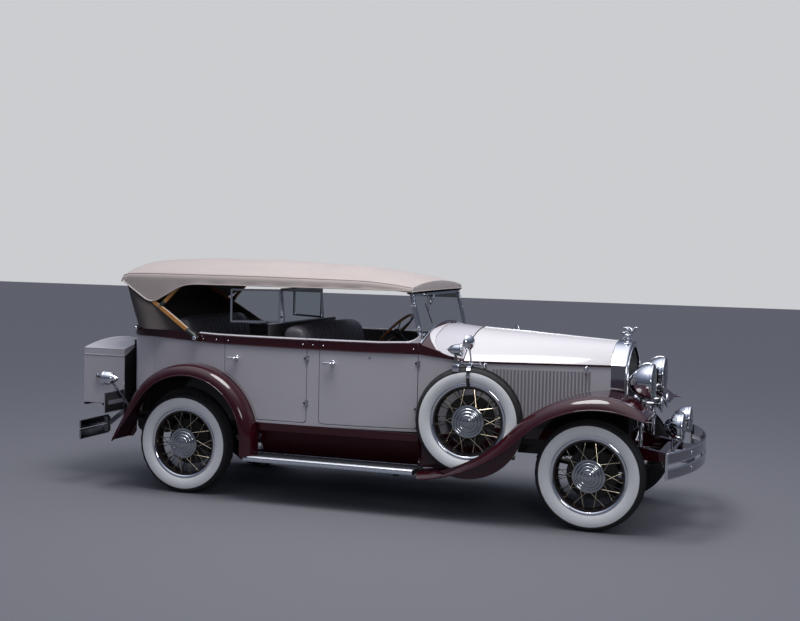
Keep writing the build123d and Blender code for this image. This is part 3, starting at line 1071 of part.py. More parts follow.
# Mirrors strapped on the spare tyres
mirror_z = SPARE_Z + TYRE_RADIUS
mirror_head = Pos(SPARE_X, SPARE_Y - 30, mirror_z + 105) * Rot(0, 90, 0) * Cylinder(52, 14)
mirror_stem = rod((SPARE_X, SPARE_Y - 30, mirror_z - 20), (SPARE_X, SPARE_Y - 30, mirror_z + 60), 6)
mirror_stem -= spare_place * one_tyre
save(both_sides(mirror_head + mirror_stem), "spare_mirrors")
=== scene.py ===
import math

import bmesh
import bpy
from mathutils import Matrix, Vector


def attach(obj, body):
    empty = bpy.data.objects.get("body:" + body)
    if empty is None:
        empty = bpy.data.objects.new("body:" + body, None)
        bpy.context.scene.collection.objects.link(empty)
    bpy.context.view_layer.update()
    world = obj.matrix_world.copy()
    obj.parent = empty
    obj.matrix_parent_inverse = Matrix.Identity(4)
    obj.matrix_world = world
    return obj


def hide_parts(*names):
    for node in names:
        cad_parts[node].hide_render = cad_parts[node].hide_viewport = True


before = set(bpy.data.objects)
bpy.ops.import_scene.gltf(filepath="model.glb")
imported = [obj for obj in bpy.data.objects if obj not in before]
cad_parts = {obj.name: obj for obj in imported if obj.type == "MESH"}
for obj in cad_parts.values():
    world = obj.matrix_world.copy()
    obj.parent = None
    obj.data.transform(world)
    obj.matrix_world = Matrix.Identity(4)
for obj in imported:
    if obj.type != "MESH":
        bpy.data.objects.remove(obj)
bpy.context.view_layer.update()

# Camera: at eye height to the right of the car and a little ahead of its middle,
# with the slight tilt of a hand-held picture.
YAW, PITCH, ROLL = 0.3372, 0.05183, 0.02182
FOCAL_PIXELS, PICTURE_WIDTH = 1242.52, 800
forward = Vector((-math.sin(YAW) * math.cos(PITCH), math.cos(YAW) * math.cos(PITCH),
    -math.sin(PITCH)))
level = Vector((math.cos(YAW), math.sin(YAW), 0))
upright = level.cross(forward)
right = level * math.cos(ROLL) + upright * math.sin(ROLL)
up = upright * math.cos(ROLL) - level * math.sin(ROLL)
camera_data = bpy.data.cameras.new("camera")
camera_data.sensor_width = 36
camera_data.lens = FOCAL_PIXELS / PICTURE_WIDTH * camera_data.sensor_width
camera_data.clip_end = 200
camera = bpy.data.objects.new("camera", camera_data)
bpy.context.scene.collection.objects.link(camera)
camera.matrix_world = Matrix.Translation((3.57981, -9.90057, 2.09993)) @ Matrix(
    (right, up, -forward)).transposed().to_4x4()
bpy.context.scene.camera = camera
bpy.context.scene.view_settings.view_transform = "Standard"


# Studio: a plain grey floor under a broad round lamp overhead and a small one beside the camera.
# The room is pale above and darker towards the floor, so that bright metal has something to show.
class Value:
    """A number or colour that changes over a surface, used in plain sums."""

    def __init__(self, finish, socket):
        self.finish = finish
        self.socket = socket

    def sum(self, operation, first, second):
        return self.finish.node("ShaderNodeMath", {"operation": operation}, {0: first, 1: second})

    def __add__(self, other):
        return self.sum("ADD", self, other)

    __radd__ = __add__

    def __mul__(self, other):
        return self.sum("MULTIPLY", self, other)

    __rmul__ = __mul__

    def __sub__(self, other):
        return self.sum("SUBTRACT", self, other)

    def __rsub__(self, other):
        return self.sum("SUBTRACT", other, self)

    def __pow__(self, other):
        return self.sum("POWER", self, other)

    def __gt__(self, other):
        return self.sum("GREATER_THAN", self, other)

    def __lt__(self, other):
        return self.sum("LESS_THAN", self, other)


class Finish:
    """Nodes of one finish or of the room's light."""

    def __init__(self, owner):
        owner.use_nodes = True
        self.owner = owner
        self.nodes = owner.node_tree.nodes
        self.links = owner.node_tree.links

    def dress(self, socket, value):
        self.feed(self.skin.inputs[socket], value)

    def feed(self, socket, value):
        if isinstance(value, Value):
            self.links.new(value.socket, socket)
        elif hasattr(value, "__len__") and len(value) == 3 and socket.type == "RGBA":
            socket.default_value = (*value, 1)
        else:
            socket.default_value = value

    def node(self, kind, settings, sockets, output=0):
        made = self.nodes.new(kind)
        for name, setting in settings.items():
            if name == "stops":
                for place, _ in setting[1:-1]:
                    made.color_ramp.elements.new(place)
                for element, (place, colour) in zip(made.color_ramp.elements, setting):
                    element.position = place
                    element.color = (*colour, 1)
            else:
                setattr(made, name, setting)
        for name, value in sockets.items():
            self.feed(made.inputs[name], value)
        return Value(self, made.outputs[output])

    def blend(self, share, first, second):
        """Colour between two colours."""
        return self.node("ShaderNodeMix", {"data_type": "RGBA"}, {0: share, 6: first, 7: second}, 2)

    def place(self):
        """Where a point is on the piece, in metres."""
        return self.node("ShaderNodeTexCoord", {}, {}, 3)

    def along(self, axis):
        """One number of the place: 0, 1 or 2."""
        return self.node("ShaderNodeSeparateXYZ", {}, {0: self.place()}, axis)

    def stretched(self, scale):
        return self.node("ShaderNodeVectorMath", {"operation": "MULTIPLY"},
            {0: self.place(), 1: scale})

    def mottle(self, scale, detail=3, stretch=(1, 1, 1)):
        """Uneven patches from 0 to 1, with so many to a metre."""
        return self.node("ShaderNodeTexNoise", {},
            {"Vector": self.stretched(stretch), "Scale": scale, "Detail": detail})

    def relief(self, height, strength=0.3, distance=0.001):
        sockets = {"Strength": strength, "Distance": distance, "Height": height}
        self.dress("Normal", self.node("ShaderNodeBump", {}, sockets))


def finish(name, tones=None, rough=None, relief=None, **sockets):
    """New material: tones are a mottle and two colours, rough a mottle, its spread and its least
    value, relief a mottle, strength and depth. Other words are sockets, with _ for a space."""
    made = Finish(bpy.data.materials.new(name))
    made.skin = made.nodes["Principled BSDF"]
    for socket, value in sockets.items():
        made.dress(socket.replace("_", " "), value)
    if tones:
        made.tone = made.blend(made.mottle(*tones[0]), *tones[1:])
        made.dress("Base Color", made.tone)
    if rough:
        made.dress("Roughness", made.mottle(*rough[0]) * rough[1] + rough[2])
    if relief:
        made.relief(made.mottle(*relief[0]), *relief[1:])
    return made


ROOM_GREY = (0.6, 0.61, 0.63)
room = bpy.data.worlds.new("room")
bpy.context.scene.world = room
air = Finish(room)
rays = air.node("ShaderNodeLightPath", {}, {})
height = air.node("ShaderNodeSeparateXYZ", {}, {0: air.node("ShaderNodeTexCoord", {}, {}, 0)}, 2)
sky = air.node("ShaderNodeValToRGB", {"stops": ((0.0, (0.025, 0.025, 0.03)),
    (0.48, (0.03, 0.03, 0.035)), (0.53, (0.07, 0.08, 0.11)), (0.68, (0.12, 0.14, 0.2)),
    (0.82, (0.36, 0.4, 0.52)), (0.91, (1.0, 1.04, 1.18)), (1.0, (1.45, 1.47, 1.55)))},
    {0: height * 0.5 + 0.5})
backdrop = air.nodes["Background"]
air.feed(backdrop.inputs["Color"], air.blend(rays, sky, ROOM_GREY))
backdrop.inputs["Strength"].default_value = 1.0

floor_finish = finish("studio_floor", Base_Color=(0.13, 0.13, 0.145), Roughness=0.85)
floor_mesh = bpy.data.meshes.new("studio_floor")
floor_mesh.from_pydata([(-40, -40, 0), (40, -40, 0), (40, 40, 0), (-40, 40, 0)], [], [(0, 1, 2, 3)])
floor = bpy.data.objects.new("studio_floor", floor_mesh)
floor_mesh.materials.append(floor_finish.owner)
bpy.context.scene.collection.objects.link(floor)

# Lamp rows: name, place, point lit, size, watts
LAMPS = (("overhead_lamp", (0.5, -1.5, 7.0), (0, 0, 0.8), 3.6, 350),
    ("side_lamp", (4.5, -9.0, 4.0), (0.3, 0, 0.8), 2.2, 75))
for lamp_name, place, target, size, watts in LAMPS:
    lamp_data = bpy.data.lights.new(lamp_name, "AREA")
    lamp_data.shape = "DISK"
    lamp_data.size = size
    lamp_data.energy = watts
    lamp = bpy.data.objects.new(lamp_name, lamp_data)
    lamp.location = place
    lamp.rotation_euler = (Vector(target) - Vector(place)).to_track_quat("-Z", "Y").to_euler()
    bpy.context.scene.collection.objects.link(lamp)


# Tyres: black moulded rubber with five tread ribs, and a broad whitewall with a raised
# line near its outer edge on the outward side.
def mm(*numbers):
    """Pairs in metres, such as a radius and a height, from numbers in millimetres."""
    return [(first / 1000, second / 1000) for first, second in zip(numbers[::2], numbers[1::2])]


WELD = 0.00002


class Form:
    """Mesh of one piece, gathered from turned, bent and pressed shapes; paint numbers a finish."""

    def __init__(self):
        self.points = []
        self.faces = []
        self.paint = []

    def add(self, points, faces, place=None, paint=0):
        first = len(self.points)
        place = place or Matrix.Identity(4)
        self.points += [place @ Vector(p) for p in points]
        self.faces += [[first + n for n in face] for face in faces]
        self.paint += [paint] * len(faces)

    def grid(self, rows, place=None, round_rows=False, round_columns=False, paint=0):
        """Skin over rows of points; rows or columns may close on themselves."""
        count = len(rows[0])
        faces = []
        for i in range(len(rows) - (0 if round_rows else 1)):
            j = (i + 1) % len(rows)
            for k in range(count - (0 if round_columns else 1)):
                m = (k + 1) % count
                faces.append((i * count + k, j * count + k, j * count + m, i * count + m))
        self.add([p for row in rows for p in row], faces, place, paint)

    def ends(self, rows, place=None, paint=0):
        """Flat faces over the first and the last row."""
        for row in (rows[0], rows[-1]):
            self.add(row, [tuple(range(len(row)))], place, paint)

    def turned(self, profile, place=None, segments=48, paint=0):
        """Turned shape: a profile of radius and height, round the local Z axis."""
        rows = []
        for n in range(segments):
            angle = math.tau * n / segments
            rows.append([(r * math.cos(angle), r * math.sin(angle), h) for r, h in profile])
        self.grid(rows, place, round_rows=True, paint=paint)

    def tube(self, path, radius, sides=10, closed=False, place=None, paint=0, flat=1.0):
        """Round or oval bar along a path; the radius may be a list, one for each point."""
        path = [Vector(p) for p in path]
        radii = radius if hasattr(radius, "__len__") else [radius] * len(path)
        count = len(path)
        side = None
        rows = []
        for n, point in enumerate(path):
            ahead = path[(n + 1) % count] if closed or n < count - 1 else point
            behind = path[n - 1] if closed or n else point
            run = (ahead - behind).normalized()
            if side is None:
                side = run.orthogonal() if abs(run.z) > 0.9 else run.cross(Vector((0, 0, 1)))
            side = (side - run * side.dot(run)).normalized()
            lift = run.cross(side)
            rows.append([point + (side * math.cos(math.tau * k / sides)
                + lift * flat * math.sin(math.tau * k / sides)) * radii[n] for k in range(sides)])
        self.grid(rows, place, round_rows=closed, round_columns=True, paint=paint)
        if not closed:
            self.ends(rows, place, paint)

    def block(self, low, high, edge=0.002, place=None, paint=0):
        """Bar or plate with eased edges, between two corners."""
        shape = bmesh.new()
        bmesh.ops.create_cube(shape, size=1)
        middle = (Vector(low) + Vector(high)) / 2
        size = Vector(high) - Vector(low)
        for vertex in shape.verts:
            vertex.co = Vector(a * b + c for a, b, c in zip(vertex.co, size, middle))
        edge = min(edge, min(size) * 0.45)
        bmesh.ops.bevel(shape, geom=shape.edges[:], offset=edge, segments=2, profile=0.5,
            affect="EDGES")
        shape.verts.index_update()
        self.add([v.co for v in shape.verts], [[v.index for v in f.verts] for f in shape.faces],
            place, paint)
        shape.free()

    def piece(self, name, finishes, body, slot, sharp=38, replaces=()):
        mesh = bpy.data.meshes.new(name)
        mesh.from_pydata(self.points, [], self.faces)
        for item in finishes:
            mesh.materials.append(item.owner)
        mesh.polygons.foreach_set("material_index", self.paint)
        shape = bmesh.new()
        shape.from_mesh(mesh)
        bmesh.ops.remove_doubles(shape, verts=shape.verts, dist=WELD)
        bmesh.ops.recalc_face_normals(shape, faces=shape.faces)
        shape.to_mesh(mesh)
        shape.free()
        mesh.shade_smooth()
        mesh.set_sharp_from_angle(angle=math.radians(sharp))
        made = bpy.data.objects.new(name, mesh)
        bpy.context.scene.collection.objects.link(made)
        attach(made, body)
        if replaces:
            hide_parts(*replaces)
        return made


WHEELBASE, FRONT_X = 3.404, 1.8945
REAR_X = FRONT_X - WHEELBASE
TRACK = 1.422
TYRE_RADIUS, TYRE_HALF, TREAD_HALF = 0.4185, 0.084, 0.062
WHITE_INNER, WHITE_OUTER = 0.293, 0.379
tyre_rubber = finish("whitewall_tyre", Roughness=0.75, Specular_IOR_Level=0.35)
across = tyre_rubber.along(2)
from_axle = tyre_rubber.node("ShaderNodeVectorMath", {"operation": "LENGTH"},
    {0: tyre_rubber.stretched((1, 1, 0))}, 1)
white = (from_axle < WHITE_OUTER) * (across > 0.03) * (from_axle > WHITE_INNER)
scuffs = tyre_rubber.mottle(30, 6)
black = tyre_rubber.blend(scuffs, (0.012, 0.012, 0.013), (0.028, 0.027, 0.027))
chalk = tyre_rubber.blend(scuffs, (0.7, 0.7, 0.69), (0.8, 0.8, 0.79))
tyre_rubber.dress("Base Color", tyre_rubber.blend(white, black, chalk))
tyre_rubber.relief(tyre_rubber.mottle(400, 2), 0.12, 0.0006)

TYRE_SEGMENTS = 120
RIB_EDGES = (0.009, 0.013, 0.029, 0.033, 0.047)
tyre_rows = []
for n in range(TYRE_SEGMENTS):
    angle = math.tau * n / TYRE_SEGMENTS
    zigzag = (0, 0.0022, 0, -0.0022)[n % 4]
    lug = 0.006 if n % 4 in (1, 2) else 0.0
    side = [(0.288, 0.0527), (0.292, 0.06), (0.3, 0.0705), (0.318, 0.0795), (0.345, TYRE_HALF),
        (0.368, 0.0818), (0.3835, 0.0775), (0.3855, 0.0785), (0.3885, 0.0768), (0.3935, 0.073),
        (0.399, 0.07), (0.4035 - lug, 0.066)]
    ribs = []
    for k, y in enumerate(reversed(RIB_EDGES)):
        crown = TYRE_RADIUS - 0.0135 * (y / TREAD_HALF) ** 2
        groove = 0.0065
        if k == 0:
            ribs += [(crown - lug, y + 0.01 + zigzag), (crown, y + 0.002 + zigzag),
                (crown - groove, y + zigzag)]
        elif k % 2:
            ribs += [(crown - groove, y + zigzag), (crown, y - 0.001 + zigzag)]
        else:
            ribs += [(crown, y + 0.001 + zigzag), (crown - groove, y + zigzag)]
    half = side + ribs
    row = half + [(r, -y + (2 * zigzag if abs(y) < 0.06 else 0))
        for r, y in reversed(half)] + [(0.267, -0.0527), (0.267, 0.0527)]
    tyre_rows.append([(r * math.cos(angle), r * math.sin(angle), y) for r, y in row])
WHEEL_PLACES = {f"{end}_{hand}": (x, y, TYRE_RADIUS)
    for end, x in (("front", FRONT_X), ("rear", REAR_X))
    for hand, y in (("left", TRACK / 2), ("right", -TRACK / 2))}
SPARE_X, SPARE_Y, SPARE_Z, SPARE_TURN = FRONT_X - 0.939, 0.757, 0.771, 6
SPARE_PLACES = {"spare_left": (SPARE_X, SPARE_Y, SPARE_Z),
    "spare_right": (SPARE_X, -SPARE_Y, SPARE_Z)}


def set_out(form, stem, finishes, slot, node_stem, spare_node, sharp=38):
    """One mesh shared by the four road wheels and the two spares, each turned to face outwards."""
    first = None
    for name, (x, y, z) in {**WHEEL_PLACES, **SPARE_PLACES}.items():
        body = "chassis" if name.startswith("spare") else f"wheel_{name}"
        if first is None:
            made = first = form.piece(f"{stem}_{name}", finishes, body, slot, sharp)
        else:
            made = bpy.data.objects.new(f"{stem}_{name}", first.data)
            bpy.context.scene.collection.objects.link(made)
        outwards = math.copysign(1, y)
        made.parent = None
        turn = math.radians(-SPARE_TURN * outwards) if name.startswith("spare") else 0
        made.matrix_world = (Matrix.Translation((x, y, z)) @ Matrix.Rotation(turn, 4, "Z")
            @ Matrix.Rotation(-outwards * math.pi / 2, 4, "X"))
        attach(made, body)
        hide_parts(spare_node if name.startswith("spare") else f"{node_stem}_{name}")


rubber_form = Form()
rubber_form.grid(tyre_rows, round_rows=True, round_columns=True)
set_out(rubber_form, "rubber", [tyre_rubber], "whitewall_tyre", "tyre", "spare_tyres", 30)

# Wire wheels: a black rolled rim with a bright trim ring, three rows of steel spokes laced in
# crossing pairs, of which the outer row is bright with a painted warm glint and the inner rows are
# painted black as shade, and a broad stepped cap of plated metal, darkened as a painted reflection.
bright = finish("chrome", rough=((25, 4), 0.07, 0.035), Base_Color=(0.74, 0.75, 0.78), Metallic=1.0)
rim_black = finish("rim_enamel", rough=((60, 3), 0.2, 0.25), Base_Color=(0.012, 0.008, 0.009),
    Coat_Weight=0.6, Coat_Roughness=0.08)
drum_grey = finish("drum_grey", ((40, 5), (0.02, 0.018, 0.018), (0.05, 0.045, 0.04)), Roughness=0.7,
    Metallic=0.4)
wheel_form = Form()
RIM_HALF, RIM_INNER = 0.06, 0.2597
SPOKE_REACH, SPOKE_WIRE, SPOKE_NIPPLE = 0.247, 0.0026, 0.0042
wheel_form.turned([(RIM_INNER, -RIM_HALF), (0.246, -0.03), (0.243, 0.0), (0.247, 0.03),
    (RIM_INNER, RIM_HALF - 0.004), (0.277, RIM_HALF), (0.288, RIM_HALF), (0.288, RIM_HALF - 0.007),
    (0.2667, RIM_HALF - 0.007), (0.2667, 0.007 - RIM_HALF), (0.288, 0.007 - RIM_HALF),
    (0.288, -RIM_HALF), (RIM_INNER, -RIM_HALF)], segments=96, paint=1)
wheel_form.turned(mm(272, 60.5, 280, 67.5, 289, 69, 295.5, 65.5, 296.5, 61, 290, 60, 272, 60.5),
    segments=96)
# Spoke rows: hub radius, hub height, rim height, turn at the hub, turn at the rim, pairs, start
SPOKE_ROWS = ((0.098, 0.052, 0.02, 25, -9, 10, 0), (0.075, -0.03, -0.012, 6, -14, 10, 18),
    (0.07, -0.042, -0.03, 9, -4, 10, 9))
for hub_radius, hub_y, rim_y, hub_turn, rim_turn, pairs, start in SPOKE_ROWS:
    for pair in range(pairs):
        for side in (-1, 1):
            a = math.radians(start + 360 * pair / pairs + side * hub_turn)
            b = math.radians(start + 360 * pair / pairs + side * rim_turn)
            foot = Vector((hub_radius * math.cos(a), hub_radius * math.sin(a), hub_y))
            tip = Vector((SPOKE_REACH * math.cos(b), SPOKE_REACH * math.sin(b), rim_y))
            # Outer row in warm-tinted metal as a painted sunlit glint; the inner rows in black
            # enamel as painted shade.
            wheel_form.tube([foot, foot.lerp(tip, 0.88), foot.lerp(tip, 0.885), tip],
                [SPOKE_WIRE, SPOKE_WIRE, SPOKE_NIPPLE, SPOKE_NIPPLE], 7,
                paint=4 if rim_y > 0 else 1)
wheel_form.turned(mm(20.1, -93, 48, -93, 48, -45, 80, -45, 82, -40, 80, -26, 50, -24, 50, 40,
    100, 46, 104, 52, 104, 60), paint=1)
wheel_form.turned(mm(108, 58, 124.5, 60, 126, 63.5, 124.5, 68, 119, 70.5, 113, 70.5, 108.5, 68,
    105.5, 68.5, 102, 76, 96.5, 80, 90, 80, 86.5, 77.5, 83.5, 78.5, 80, 86, 73, 90.5, 64, 91.5,
    60, 89.5, 57, 90.5, 53.5, 96.5, 47, 99.5, 40, 100, 37, 98.5, 34, 99, 30, 102.2, 20, 103.5,
    16, 102.5, 12, 103.5, 0, 104), segments=72, paint=3)
wheel_form.turned(mm(46, -45, 188, -45, 190, -47, 190, -60, 187, -62, 190, -64, 190, -98, 180, -100,
    180, -55, 46, -55), segments=64, paint=2)
wheel_form.tube([(0.262, 0, 0.045), (0.24, 0.004, 0.052), (0.222, 0.006, 0.066)],
    [0.004, 0.004, 0.0032], 8, paint=1)
# Painted reflection: the cap's plated metal has a dark base colour, standing for dark surroundings
# seen in it.
cap_metal_painted_dark = finish("cap_metal_painted_dark", rough=((30, 4), 0.08, 0.05), Base_Color=(0.44, 0.46, 0.47),
    Metallic=1.0)
# Painted light: the spokes' warm tint stands for sunlit glints on plain plated wire.
spoke_metal_painted_glint = finish("spoke_metal_painted_glint", rough=((40, 4), 0.15, 0.12), Base_Color=(0.78, 0.66, 0.47),
    Metallic=1.0)
set_out(wheel_form, "wheel", [bright, rim_black, drum_grey, cap_metal_painted_dark, spoke_metal_painted_glint], "wheel_metal",
    "wheel", "spare_wheels")

# Running gear: dropped front axle, knuckles, leaf springs and frame rails in black and
# maroon enamel, a cast engine block, and a steel exhaust that has gone dull.
def cover(node, *finishes, rule=None):
    """Gives a kept node its finishes; a rule picks one of them for each face."""
    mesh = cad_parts[node].data
    mesh.materials.clear()
    for item in finishes:
        mesh.materials.append(item.owner)
    for face in mesh.polygons:
        face.material_index = rule(face.center, face.normal) if rule else 0


def enamel(name, shade, light, rough=0.16, coat=0.7):
    """Sprayed and polished enamel: faint unevenness of tone, and dust-fine orange peel."""
    return finish(name, ((3, 5), shade, light), ((9, 6), 0.1, rough - 0.05),
        ((420, 2), 0.035, 0.0004), Coat_Weight=coat, Coat_Roughness=0.03, Specular_IOR_Level=0.12)


chassis_black = enamel("chassis_enamel", (0.01, 0.01, 0.011), (0.022, 0.021, 0.021), 0.34, 0.3)
MAROON_TONES = (0.028, 0.0024, 0.0052), (0.039, 0.0037, 0.008)
maroon = enamel("maroon_enamel", *MAROON_TONES, 0.14, 0.9)
cast_iron = finish("cast_iron", ((25, 6), (0.06, 0.065, 0.065), (0.13, 0.13, 0.125)),
    relief=((260, 5), 0.5, 0.001), Roughness=0.75, Metallic=0.5)
pipe_steel = finish("pipe_steel", ((12, 6), (0.16, 0.13, 0.11), (0.32, 0.3, 0.28)),
    ((30, 5), 0.3, 0.35), Metallic=0.9)
for node in ("front_axle", "knuckle_left", "knuckle_right", "tie_rod", "rear_axle", "leaf_springs",
        "fuel_tank", "luggage_rack"):
    cover(node, chassis_black)
cover("frame_rails", maroon, chassis_black, rule=lambda p, n: 0 if p.x > 1.6 else 1)
cover("engine_block", cast_iron)
cover("exhaust_pipe", pipe_steel)

# Body: steel panels in cream over a wood frame, the cream darkened to a lavender grey as painted
# shade from the sky, a maroon belt along the top edge of the doors and round the cowl, dark trim
# cards inside, and painted black shade in the wheel arches where fenders cover it.
BODY_MIDDLE_X, SIDE_RADIUS, HALF_WIDTH = FRONT_X - 2.447, 6.25, 0.765
BELT_PROUD = 0.01
COWL_REAR_X, COWL_X, RADIATOR_X = 0.5225, 0.8525, 1.9625
SIDES = (-1, 1)
HANDS = ((-1, "right"), (1, "left"))


def side_y(x):
    """Half width of the body's outer face."""
    return HALF_WIDTH - SIDE_RADIUS + math.sqrt(SIDE_RADIUS ** 2 - (x - BODY_MIDDLE_X) ** 2)


def between(rows, x):
    """Height or other value along rows of (X, value)."""
    for (x0, v0), (x1, v1) in zip(rows, rows[1:]):
        if x <= x1 or (x1, v1) == rows[-1]:
            return v0 + (v1 - v0) * (x - x0) / (x1 - x0)


def within(made, centre, radius):
    """1 inside a circle drawn in X and Z, 0 outside."""
    x, z = made.along(0), made.along(2)
    return (x - centre[0]) ** 2.0 + (z - centre[1]) ** 2.0 < radius ** 2


# Painted shade: body faces within circles round both wheel arches are coloured black, for the shade
# where the fenders cover them.
ARCH_PAINTED_SHADE = (0.012, 0.01, 0.011)
# The body's cream gets darker, lavender grey tones: painted shade of the sky-lit sides.
cream = enamel("cream_enamel_painted_shade", (0.44, 0.42, 0.445), (0.48, 0.46, 0.485), 0.22, 0.5)
arch_shade_mask = within(cream, (-1.4345, 0.4875), 0.6) + within(cream, (1.9876, 0.0863), 0.932)
cream.dress("Base Color", cream.blend(arch_shade_mask > 0.5, cream.tone, ARCH_PAINTED_SHADE))
trim_card = finish("trim_card", ((60, 5), (0.03, 0.027, 0.03), (0.05, 0.046, 0.049)),
    relief=((900, 3), 0.35, 0.0006), Roughness=0.62)
carpet = finish("wool_carpet", ((300, 4), (0.02, 0.018, 0.02), (0.05, 0.045, 0.047)),
    relief=((1500, 2), 0.8, 0.002), Roughness=0.95)


def body_rule(point, normal):
    """0 paint, 1 maroon belt, 2 bright handle or hinge, 3 trim card inside, 4 carpet."""
    outside = abs(point.y) - side_y(point.x)
    if point.x > -1.88 and outside > 0.0112:
        return 2
    if point.z < 0.7 and normal.z > 0.6 and outside < -0.03:
        return 4
    if point.x > -1.88 and outside > 0.0008:
        return 1
    if outside < -0.012 and (point.x > -1.9 or abs(normal.z) > 0.5):
        return 3
    return 0


for node in ("door_front_left", "door_front_right", "door_rear_left", "door_rear_right",
        "body_tub"):
    cover(node, cream, maroon, bright, trim_card, carpet, rule=body_rule)
cover("cowl", cream)
# Painted light: the cowl's top is a lighter copy of the body cream, as lit from above.
COWL_TOP_PAINTED_LIGHT = (0.55, 0.525, 0.535)
band = enamel("cowl_band_enamel", *MAROON_TONES, 0.14, 0.9)
ahead = band.along(0) > (band.along(1) ** 2.0 - 0.1764) ** 2.0 * 1.9 + 0.533
above = band.along(2) > (band.along(0) - 0.45) ** -1.0 * 0.01713 + 1.209
band.dress("Base Color", band.blend(ahead * above, band.tone, COWL_TOP_PAINTED_LIGHT))
cover("belt_moulding", band)
EDGE_ROWS = mm(-2757.5, 1395, -1759.5, 1348, -1209.5, 1332, 203.5, 1332, 552.5, 1346)
BELT_FOOT_ROWS = mm(-2757.5, 1310, -1759.5, 1285, -1259.5, 1265, 3.5, 1255, 522.5, 1255)


def curve(points, steps=6):
    """Smooth line through points."""
    points = [Vector(p) for p in points]
    ends = [points[0] * 2 - points[1], *points, points[-1] * 2 - points[-2]]
    line = []
    for a, b, c, d in zip(ends, ends[1:], ends[2:], ends[3:]):
        for n in range(steps):
            t = n / steps
            line.append(0.5 * (2 * b + (c - a) * t + (2 * a - 5 * b + 4 * c - d) * t * t
                + (3 * b - a - 3 * c + d) * t ** 3))
    return [*line, points[-1]]


def outward(place, side):
    """Place whose local Z points away from the car's middle."""
    return Matrix.Translation(place) @ Matrix.Rotation(-side * math.pi / 2, 4, "X")


LIP_STEPS = 14
# Lip stretches: name, body stem, rear end, front end. Doors carry their own.
LIPS = (("quarter", -1.402, -1.1565), ("rear", -1.1515, -0.4115), ("pillar", -0.4055, -0.2995),
    ("front", -0.2935, 0.4))
for stretch, rear_end, front_end in LIPS:
    for side, hand in HANDS:
        lip = Form()
        xs = [rear_end + (front_end - rear_end) * n / LIP_STEPS for n in range(LIP_STEPS + 1)]
        lip.tube([(x, side * (side_y(x) - 0.008), between(EDGE_ROWS, x) + 0.003) for x in xs],
            0.0155, 12, flat=0.62)
        belt_line = [(x, side * (side_y(x) + BELT_PROUD), between(BELT_FOOT_ROWS, x) + 0.0035)
            for x in xs]
        lip.tube(belt_line, 0.0042, 8, paint=1)
        lip.tube([(x, y, between(EDGE_ROWS, x) - 0.0065) for x, y, z in belt_line], 0.0042, 8,
            paint=1)
        owner = f"door_{stretch}_{hand}" if stretch in ("rear", "front") else "chassis"
        lip.piece(f"edge_lip_{stretch}_{hand}", [cream, maroon], owner, "cream_paint")

# Belt trim: bright studs screwed along the belt, a door lock, the painted garnish at the foot of
# the windshield, and pointed lever handles on round bosses.
STUD_Z, HANDLE_Z = 1.293, 1.155
for side, hand in HANDS:
    for owner, xs in (("chassis", (-1.367, -1.235, -0.355)), (f"door_rear_{hand}", (-1.12, -0.44)),
            (f"door_front_{hand}", (-0.265, 0.47))):
        studs = Form()
        for x in xs:
            out = outward((x, side * (side_y(x) + BELT_PROUD), STUD_Z), side)
            studs.turned(mm(0.1, 5.5, 2.8, 5, 5.2, 3, 6.2, 0, 6.2, -1), out, 14)
        studs.piece(f"belt_studs_{owner}_{hand}", [bright], owner, "chrome")
    garnish = Form()
    rows = []
    for n in range(17):
        t = n / 16
        x = 0.402 + 0.112 * t
        lift = 0.058 * t ** 2.2
        y = side_y(x) - 0.008 - 0.03 * t
        z = between(EDGE_ROWS, x) + lift
        foot = z - lift - 0.006
        rows.append([(x, side * (y + 0.0155), foot),
            *[(x, side * (y + out), z + up) for out, up in mm(14.5, 2, 6, 11, -8, 13, -20, 6)],
            (x, side * (y - 0.022), foot)])
    garnish.grid(rows, round_columns=True)
    garnish.piece(f"garnish_{hand}", [cream], "chassis", "cream_paint")
    for door, x in (("front", -0.1865), ("rear", -1.0435)):
        lever = Form()
        out = outward((x, side * side_y(x), HANDLE_Z), side)
        lever.turned(mm(0.1, 8, 13, 8, 17, 6.5, 21, 5.5, 23, 3, 23, 0), out, 32)
        lever.turned(mm(12.5, 4, 10.5, 12, 9.5, 22, 11.5, 31, 14.5, 37, 13.5, 45, 7.5, 52, 3, 60,
            0.1, 62), out, 24)
        y = side * (side_y(x) + 0.038)
        grip = [(x + reach, y, HANDLE_Z) for reach in (-0.058, -0.03, 0, 0.025)]
        lever.tube(curve([(x - 0.072, y + side * 0.002, HANDLE_Z + 0.0005), *grip,
            (x + 0.04, y - side * 0.002, HANDLE_Z + 0.0005)], 5),
            [0.0015, 0.0065, 0.0088, 0.0093, 0.0093, 0.0094, 0.0096, 0.0098, 0.01, 0.0102, 0.0104,
            0.0106, 0.0108, 0.011, 0.0112, 0.0114, 0.0116, 0.0114, 0.0112, 0.011, 0.0106, 0.0096,
            0.008, 0.0056, 0.003, 0.0012], 12)
        lever.piece(f"handle_{door}_{hand}", [bright], f"door_{door}_{hand}", "chrome")
    lock = Form()
    place = outward((0.118, side * side_y(0.118), 1.213), side)
    lock.turned(mm(0.1, 1, 4, 1.2, 4.5, 3, 8.5, 3.4, 9.5, 2, 9.5, 0), place, 20)
    lock.piece(f"door_lock_{hand}", [bright], f"door_front_{hand}", "chrome")

# Cowl and hood: painted panels with pressed louvres. A bright bead follows the rear edge of
# the maroon cowl band, and a bright hinge strip runs along the hood's middle.
# Painted light: the hood top is a lighter copy of the body cream, as lit from above.
hood_cream_painted_light = enamel("hood_enamel_painted_light", (0.55, 0.525, 0.53), (0.59, 0.565, 0.57), 0.2, 0.5)
for node in ("hood_top_left", "hood_top_right"):
    cover(node, hood_cream_painted_light)
